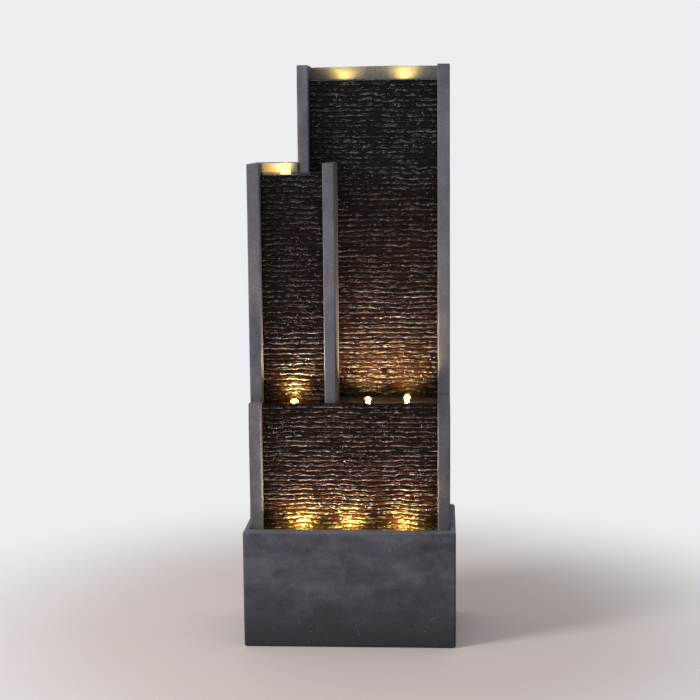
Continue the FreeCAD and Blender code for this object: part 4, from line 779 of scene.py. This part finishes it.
def plainFinish(name, ownLook):
    look = {**plainLook, **ownLook}
    material, tree = newMaterial(name)
    place = addNode(tree, "ShaderNodeTexCoord").outputs["Object"]
    scaled = addNode(tree, "ShaderNodeMapping", {
        "Vector": place, "Scale": tuple(1000 / look["grain"] / part for part in look["stretch"]),
    })
    grain = addNode(tree, "ShaderNodeTexNoise", {
        "Vector": scaled.outputs[0], "Scale": 1.0, "Detail": 3.0, "Roughness": 0.6,
    })
    cloud = addNode(tree, "ShaderNodeTexNoise", {
        "Vector": place, "Scale": 1000 / look["cloud"], "Detail": 3.0,
    })
    blend = addNode(tree, "ShaderNodeMath", {0: grain.outputs["Fac"], 1: cloud.outputs["Fac"]},
                    operation="MULTIPLY")
    part = addNode(tree, "ShaderNodeMapRange", {
        "Value": blend.outputs[0], "From Min": 0.15, "From Max": 0.35,
    })
    colour = addNode(tree, "ShaderNodeMix", {
        0: part.outputs[0], 6: toLinear(look["dark"]), 7: toLinear(look["light"]),
    }, data_type="RGBA")
    roughness = addNode(tree, "ShaderNodeMapRange", {
        "Value": cloud.outputs["Fac"], "From Min": 0.35, "From Max": 0.65,
        "To Min": look["rough"][0], "To Max": look["rough"][1],
    })
    bump = addNode(tree, "ShaderNodeBump", {
        "Strength": look["bump"], "Distance": look["depth"] * mm, "Height": grain.outputs["Fac"],
    })
    inputs = {
        "Base Color": colour.outputs[2], "Roughness": roughness.outputs[0],
        "Normal": bump.outputs[0], "Metallic": look["metal"],
    }
    if not look["metal"]:
        inputs["IOR"] = look["ior"]
    shader = addNode(tree, "ShaderNodeBsdfPrincipled", inputs)
    addNode(tree, "ShaderNodeOutputMaterial", {0: shader.outputs[0]})
    return material


# Warm lamp glass, pressed and frosted: it glows, whiter in patches of its frost
def lampGlass(name, look):
    material, tree = newMaterial(name)
    place = addNode(tree, "ShaderNodeTexCoord").outputs["Object"]
    frost = addNode(tree, "ShaderNodeTexNoise", {
        "Vector": place, "Scale": 1000 / look["frost"], "Detail": 2.0,
    })
    glow = addNode(tree, "ShaderNodeMapRange", {
        "Value": frost.outputs["Fac"], "From Min": 0.3, "From Max": 0.7,
    })
    colour = addNode(tree, "ShaderNodeMix", {
        0: glow.outputs[0], 6: toLinear(look["edge"]), 7: toLinear(look["core"]),
    }, data_type="RGBA")
    bump = addNode(tree, "ShaderNodeBump", {
        "Strength": look["bump"], "Distance": look["depth"] * mm, "Height": frost.outputs["Fac"],
    })
    shader = addNode(tree, "ShaderNodeBsdfPrincipled", {
        "Base Color": colour.outputs[2], "Roughness": look["rough"], "IOR": 1.5,
        "Normal": bump.outputs[0],
        "Emission Color": colour.outputs[2], "Emission Strength": look["strength"],
    })
    addNode(tree, "ShaderNodeOutputMaterial", {0: shader.outputs[0]})
    return material


# Finishes of the pieces inside and behind, by the imported model's material slot
slotFinishes = {
    # brushed stainless steel: fine scratches run round, soft long highlights
    "lamp_metal": ("stainlessSteelTurned", {
        "dark": "#8e8f90", "light": "#b9bab9", "rough": (0.28, 0.42),
        "metal": 1.0, "grain": 0.5, "stretch": (6, 6, 1), "bump": 0.25,
    }),
    # zinc plated steel, cold headed: bright with a dull bloom
    "screw_steel": ("zincPlatedSteelHeaded", {
        "dark": "#9a9c9f", "light": "#c3c4c6", "rough": (0.3, 0.5),
        "metal": 1.0, "grain": 0.8, "bump": 0.3,
    }),
    # turned brass, a little tarnished
    "insert_brass": ("brassTurned", {
        "dark": "#94733a", "light": "#c79f55", "rough": (0.28, 0.45),
        "metal": 1.0, "grain": 0.5, "bump": 0.25,
    }),
    # moulded ABS with a spark eroded texture: even, matt, slate grey
    "door_plastic": ("absMouldedTextured", {
        "dark": "#3a3a3f", "light": "#46464c", "rough": (0.5, 0.62), "grain": 0.9, "bump": 0.6,
    }),
    # closed cell neoprene, die cut: dull black
    "gasket_rubber": ("neopreneDieCut", {
        "dark": "#161617", "light": "#222223", "rough": (0.8, 0.92),
        "grain": 0.6, "bump": 0.6, "ior": 1.52,
    }),
    # glossy black ABS, moulded
    "pump_plastic": ("absMouldedGlossy", {
        "dark": "#101012", "light": "#1a1a1d", "rough": (0.25, 0.4), "grain": 1.2, "bump": 0.15,
    }),
    # natural nylon round the magnet, moulded: milky and even
    "rotor_plastic": ("nylonMouldedNatural", {
        "dark": "#b5b4ab", "light": "#cac8be", "rough": (0.35, 0.5), "grain": 1.0, "bump": 0.2,
    }),
    # alumina, ground: white and smooth
    "shaft_ceramic": ("aluminaGround", {
        "dark": "#dcdbd4", "light": "#ecebe6", "rough": (0.12, 0.2),
        "grain": 0.4, "bump": 0.1, "ior": 1.76,
    }),
    # soft PVC, drawn: smoky, glossy, faint lines along it
    "hose_pvc": ("pvcDrawnSmoky", {
        "dark": "#1f2224", "light": "#2f3336", "rough": (0.2, 0.34),
        "grain": 0.9, "stretch": (1, 1, 14), "bump": 0.3, "ior": 1.53,
    }),
    # black nylon, moulded: satin, faintly grained
    "fitting_plastic": ("nylonMouldedBlack", {
        "dark": "#141415", "light": "#202022", "rough": (0.42, 0.56), "grain": 0.9, "bump": 0.3,
    }),
    # stainless band, rolled: bright, with fine lines round it
    "clamp_steel": ("stainlessSteelRolled", {
        "dark": "#929394", "light": "#bdbebe", "rough": (0.22, 0.36),
        "metal": 1.0, "grain": 0.5, "stretch": (8, 8, 1), "bump": 0.2,
    }),
    # rubber sheath, drawn: dull black
    "cable_rubber": ("rubberDrawn", {
        "dark": "#0f0f10", "light": "#1b1b1c", "rough": (0.55, 0.7),
        "grain": 0.7, "stretch": (1, 1, 8), "bump": 0.3, "ior": 1.52,
    }),
    # soft rubber, moulded: dull dark grey
    "plug_rubber": ("rubberMoulded", {
        "dark": "#1a1a1b", "light": "#28282a", "rough": (0.62, 0.78),
        "grain": 0.8, "bump": 0.5, "ior": 1.52,
    }),
}
finishes = {slot: plainFinish(name, look) for slot, (name, look) in slotFinishes.items()}
finishes["lamp_glass"] = lampGlass("lampGlassPressed", {
    "edge": "#ffc25c", "core": "#ffe8a8", "strength": 2.4,
    "frost": 4, "bump": 0.3, "depth": 0.2, "rough": 0.25,
})
finishes["trough_resin"] = troughFinish
finishes["stone_resin"] = stoneFinish
finishes["wet_stone_resin"] = wetFinish

# Lamp glasses: in the ledge and the short trough a pressed cap over each housing, elsewhere a
# low dome inside its ring
lensDomes = {
    "basin_lamp_lenses": {"radius": 6.5, "seat": 3, "heights": {"basin": 2}},
    "tall_lamp_lenses": {"radius": 6.5, "seat": 3, "heights": {"tall": 2}},
    "short_lamp_lens": {"radius": 9.4, "seat": 8, "heights": {"short": 5}},
    "middle_lamp_lenses": {"radius": 8, "seat": 4, "heights": {
        "middle_lamp_left": 6, "middle_lamp_centre": 11, "middle_lamp_right": 14,
    }},
}
lensMesh = {"rings": 8, "sides": 32, "sharp": 60}      # the last in degrees


# the housings of a tier's lamps, without their lenses and leads
def lampNodes(tier):
    return [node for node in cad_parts
            if node.startswith(f"{tier}_lamp") and "lens" not in node and "lead" not in node]


def lensDome(node, settings):
    points, faces = [], []
    heights, wide = settings["heights"], settings["radius"]
    rings, sides = lensMesh["rings"], lensMesh["sides"]
    for lamp in lampNodes(node.split("_")[0]):
        low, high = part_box(lamp)
        middleX, middleY = (low.x + high.x) / 2, (low.y + high.y) / 2
        domeHeight = heights.get(lamp) or heights[lamp.split("_")[0]]
        start, profile = len(points), [(wide, -settings["seat"]), (wide, 0.0)]
        for ring in range(1, rings):
            turn = 0.5 * math.pi * ring / rings
            profile.append((wide * math.cos(turn), domeHeight * math.sin(turn)))
        for radius, rise in profile:
            for side in range(sides):
                turn = 2 * math.pi * side / sides
                points.append((middleX + radius * math.cos(turn) * mm,
                               middleY + radius * math.sin(turn) * mm, high.z + rise * mm))
        for ring in range(len(profile) - 1):
            here = start + ring * sides
            for side in range(sides):
                ahead = (side + 1) % sides
                faces.append([here + side, here + ahead, here + sides + ahead, here + sides + side])
        last, top = start + (len(profile) - 1) * sides, len(points)
        points.append((middleX, middleY, high.z + domeHeight * mm))
        faces += [[last + side, last + (side + 1) % sides, top] for side in range(sides)]
        faces.append([start + side for side in range(sides)][::-1])
    mesh = newMesh(f"{node}_dome", points, faces)
    mesh.set_sharp_from_angle(angle=math.radians(lensMesh["sharp"]))
    dome = addPiece(f"dome_{node}", mesh, finishes["lamp_glass"], [node])
    dome.visible_shadow = False      # its lamp shines out through it


for nodeName, domeSettings in lensDomes.items():
    lensDome(nodeName, domeSettings)

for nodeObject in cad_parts.values():
    for materialSlot in nodeObject.material_slots:
        materialSlot.material = finishes[materialSlot.material.name.split(".")[0]]
print("finishes assigned")

# The fountain's own lamps: over each glass a beam that goes up the wall behind it, and a pool of
# yellower light close round it, where the water scatters
lampBeams = {
    "basin": {"power": 6.3, "lift": 1, "spread": 134, "lean": (0, 0.4, 1), "reach": 67,
              "near": "#ffe684", "far": "#ffe0c6"},
    "middle_lamp_left": {"power": 6.0, "lift": 8, "spread": 136, "lean": (0, 0.4, 1), "reach": 70,
                         "near": "#ffe38c", "far": "#ffe0c6"},
    "middle": {"power": 2.5, "lift": 12, "spread": 126, "lean": (0, 0.6, 1), "reach": 108,
               "near": "#ffe09a", "far": "#ffe0c6"},
    "short": {"power": 1.6, "lift": 7, "spread": 150, "lean": (-0.5, 0.8, 0.3), "reach": 45,
              "near": "#ffcf72", "far": "#ffcf72"},
    "tall": {"power": 8.0, "lift": 6, "spread": 172, "lean": (0, 0.3, 1), "reach": 26,
             "near": "#ffe07a", "far": "#ffe07a"},
}
lampPools = {
    "basin": {"power": 4.4, "lift": 3, "reach": 39, "near": "#ffec68", "far": "#ffec68"},
    "middle": {"power": 1.2, "lift": 14, "reach": 36, "near": "#ffd868", "far": "#ffd868"},
}


# light that keeps its level near its lamp and fades past its reach; on the way it turns from the
# near colour to the far one
lampFade = {"level": 500.0, "turn": (0.5, 1.6), "beam": 2.4, "pool": 6.0, "size": 4}


def fadingLight(data, settings, steepness):
    data.use_nodes = True
    tree = data.node_tree
    tree.nodes.clear()
    falloff = addNode(tree, "ShaderNodeLightFalloff", {"Strength": lampFade["level"]})
    path = addNode(tree, "ShaderNodeLightPath")
    share = addNode(tree, "ShaderNodeMath", {
        0: path.outputs["Ray Length"], 1: settings["reach"] * mm,
    }, operation="DIVIDE")
    raised = addNode(tree, "ShaderNodeMath", {0: share.outputs[0], 1: steepness}, operation="POWER")
    lost = addNode(tree, "ShaderNodeMath", {0: raised.outputs[0], 1: 1.0}, operation="ADD")
    kept = addNode(tree, "ShaderNodeMath", {0: falloff.outputs["Constant"], 1: lost.outputs[0]},
                   operation="DIVIDE")
    farPart = addNode(tree, "ShaderNodeMapRange", {
        "Value": share.outputs[0], "From Min": lampFade["turn"][0], "From Max": lampFade["turn"][1],
    })
    colour = addNode(tree, "ShaderNodeMix", {
        0: farPart.outputs[0], 6: toLinear(settings["near"]), 7: toLinear(settings["far"]),
    }, data_type="RGBA")
    glow = addNode(tree, "ShaderNodeEmission", {
        "Color": colour.outputs[2], "Strength": kept.outputs[0],
    })
    addNode(tree, "ShaderNodeOutputLight", {0: glow.outputs[0]})


def lampLight(name, node, kind, settings):
    low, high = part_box(node)
    data = bpy.data.lights.new(name, kind)
    data.energy = settings["power"]
    data.shadow_soft_size = lampFade["size"] * mm
    light = bpy.data.objects.new(name, data)
    scene.collection.objects.link(light)
    middle = (low + high) / 2
    light.location = (middle.x, middle.y, high.z + settings["lift"] * mm)
    light.visible_camera = False
    return light


for tierName in ("basin", "middle", "short", "tall"):
    for nodeName in lampNodes(tierName):
        beamSettings = lampBeams.get(nodeName) or lampBeams[tierName]
        beam = lampLight(f"beam_{nodeName}", nodeName, "SPOT", beamSettings)
        beam.data.spot_size = math.radians(beamSettings["spread"])
        beam.data.spot_blend = 1.0
        beam.rotation_euler = Vector(beamSettings["lean"]).to_track_quat("-Z", "Y").to_euler()
        fadingLight(beam.data, beamSettings, lampFade["beam"])
        if tierName in lampPools:
            pool = lampLight(f"pool_{nodeName}", nodeName, "POINT", lampPools[tierName])
            fadingLight(pool.data, lampPools[tierName], lampFade["pool"])
print("lamps lit")

# Studio: a pale floor, a pale surround and one large soft light from the front left
studio = {
    "floor": "#d8cdc9", "floorShade": 0.93, "floorRough": 0.8, "floorHalf": 9,
    "mottle": 3.0, "surround": "#edeef1", "fill": 0.55, "fade": (0.42, 1.15),
    "key": {"place": (-2.6, -1.6, 1.9), "aim": (0, 0, 0.55), "size": 0.9, "power": 75},
}


# 1 for what the camera sees directly, in a reflection or through glass
def backgroundRays(tree):
    path = addNode(tree, "ShaderNodeLightPath")
    seen = addNode(tree, "ShaderNodeMath", {
        0: path.outputs["Is Camera Ray"], 1: path.outputs["Is Glossy Ray"],
    }, operation="MAXIMUM")
    shown = addNode(tree, "ShaderNodeMath", {
        0: seen.outputs[0], 1: path.outputs["Is Transmission Ray"],
    }, operation="MAXIMUM")
    return shown.outputs[0]


# the floor is painted board, rolled: matt, with a faint broad mottle
def buildStudio(look):
    material, tree = newMaterial("paintedBoardRolled")
    place = addNode(tree, "ShaderNodeTexCoord").outputs["Object"]
    mottle = addNode(tree, "ShaderNodeTexNoise", {
        "Vector": place, "Scale": look["mottle"], "Detail": 4.0,
    })
    light = toLinear(look["floor"])
    colour = addNode(tree, "ShaderNodeMix", {
        0: mottle.outputs["Fac"], 6: tuple(part * look["floorShade"] for part in light), 7: light,
    }, data_type="RGBA")
    shader = addNode(tree, "ShaderNodeBsdfPrincipled", {
        "Base Color": colour.outputs[2], "Roughness": look["floorRough"],
    })
    # further out the floor runs into the surround, so that no horizon shows
    reach = addNode(tree, "ShaderNodeVectorMath", {0: place}, operation="LENGTH")
    far = addNode(tree, "ShaderNodeMapRange", {
        "Value": reach.outputs["Value"], "From Min": look["fade"][0], "From Max": look["fade"][1],
    }, interpolation_type="SMOOTHSTEP")
    farSeen = addNode(tree, "ShaderNodeMath", {0: far.outputs[0], 1: backgroundRays(tree)},
                      operation="MULTIPLY")
    pale = addNode(tree, "ShaderNodeEmission", {
        "Color": toLinear(look["surround"]), "Strength": 1.0,
    })
    faded = addNode(tree, "ShaderNodeMixShader", {
        0: farSeen.outputs[0], 1: shader.outputs[0], 2: pale.outputs[0],
    })
    addNode(tree, "ShaderNodeOutputMaterial", {0: faded.outputs[0]})
    half = look["floorHalf"]
    corners = [(-half, -half, 0), (half, -half, 0), (half, half, 0), (-half, half, 0)]
    mesh = newMesh("floor", corners, [(0, 1, 2, 3)], 0)
    mesh.materials.append(material)
    floor = bpy.data.objects.new("floor", mesh)
    scene.collection.objects.link(floor)

    world = bpy.data.worlds.new("studioSurround")
    scene.world = world
    world.use_nodes = True
    tree = world.node_tree
    tree.nodes.clear()
    fill = addNode(tree, "ShaderNodeBackground", {"Color": (1, 1, 1, 1), "Strength": look["fill"]})
    pale = addNode(tree, "ShaderNodeBackground", {
        "Color": toLinear(look["surround"]), "Strength": 1.0,
    })
    mixed = addNode(tree, "ShaderNodeMixShader", {
        0: backgroundRays(tree), 1: fill.outputs[0], 2: pale.outputs[0],
    })
    addNode(tree, "ShaderNodeOutputWorld", {0: mixed.outputs[0]})

    key = look["key"]
    data = bpy.data.lights.new("softKey", "AREA")
    data.shape = "SQUARE"
    data.size = key["size"]
    data.energy = key["power"]
    light = bpy.data.objects.new("softKey", data)
    scene.collection.objects.link(light)
    light.location = key["place"]
    ahead = Vector(key["aim"]) - Vector(key["place"])
    light.rotation_euler = ahead.to_track_quat("-Z", "Y").to_euler()


buildStudio(studio)
print("studio lit")
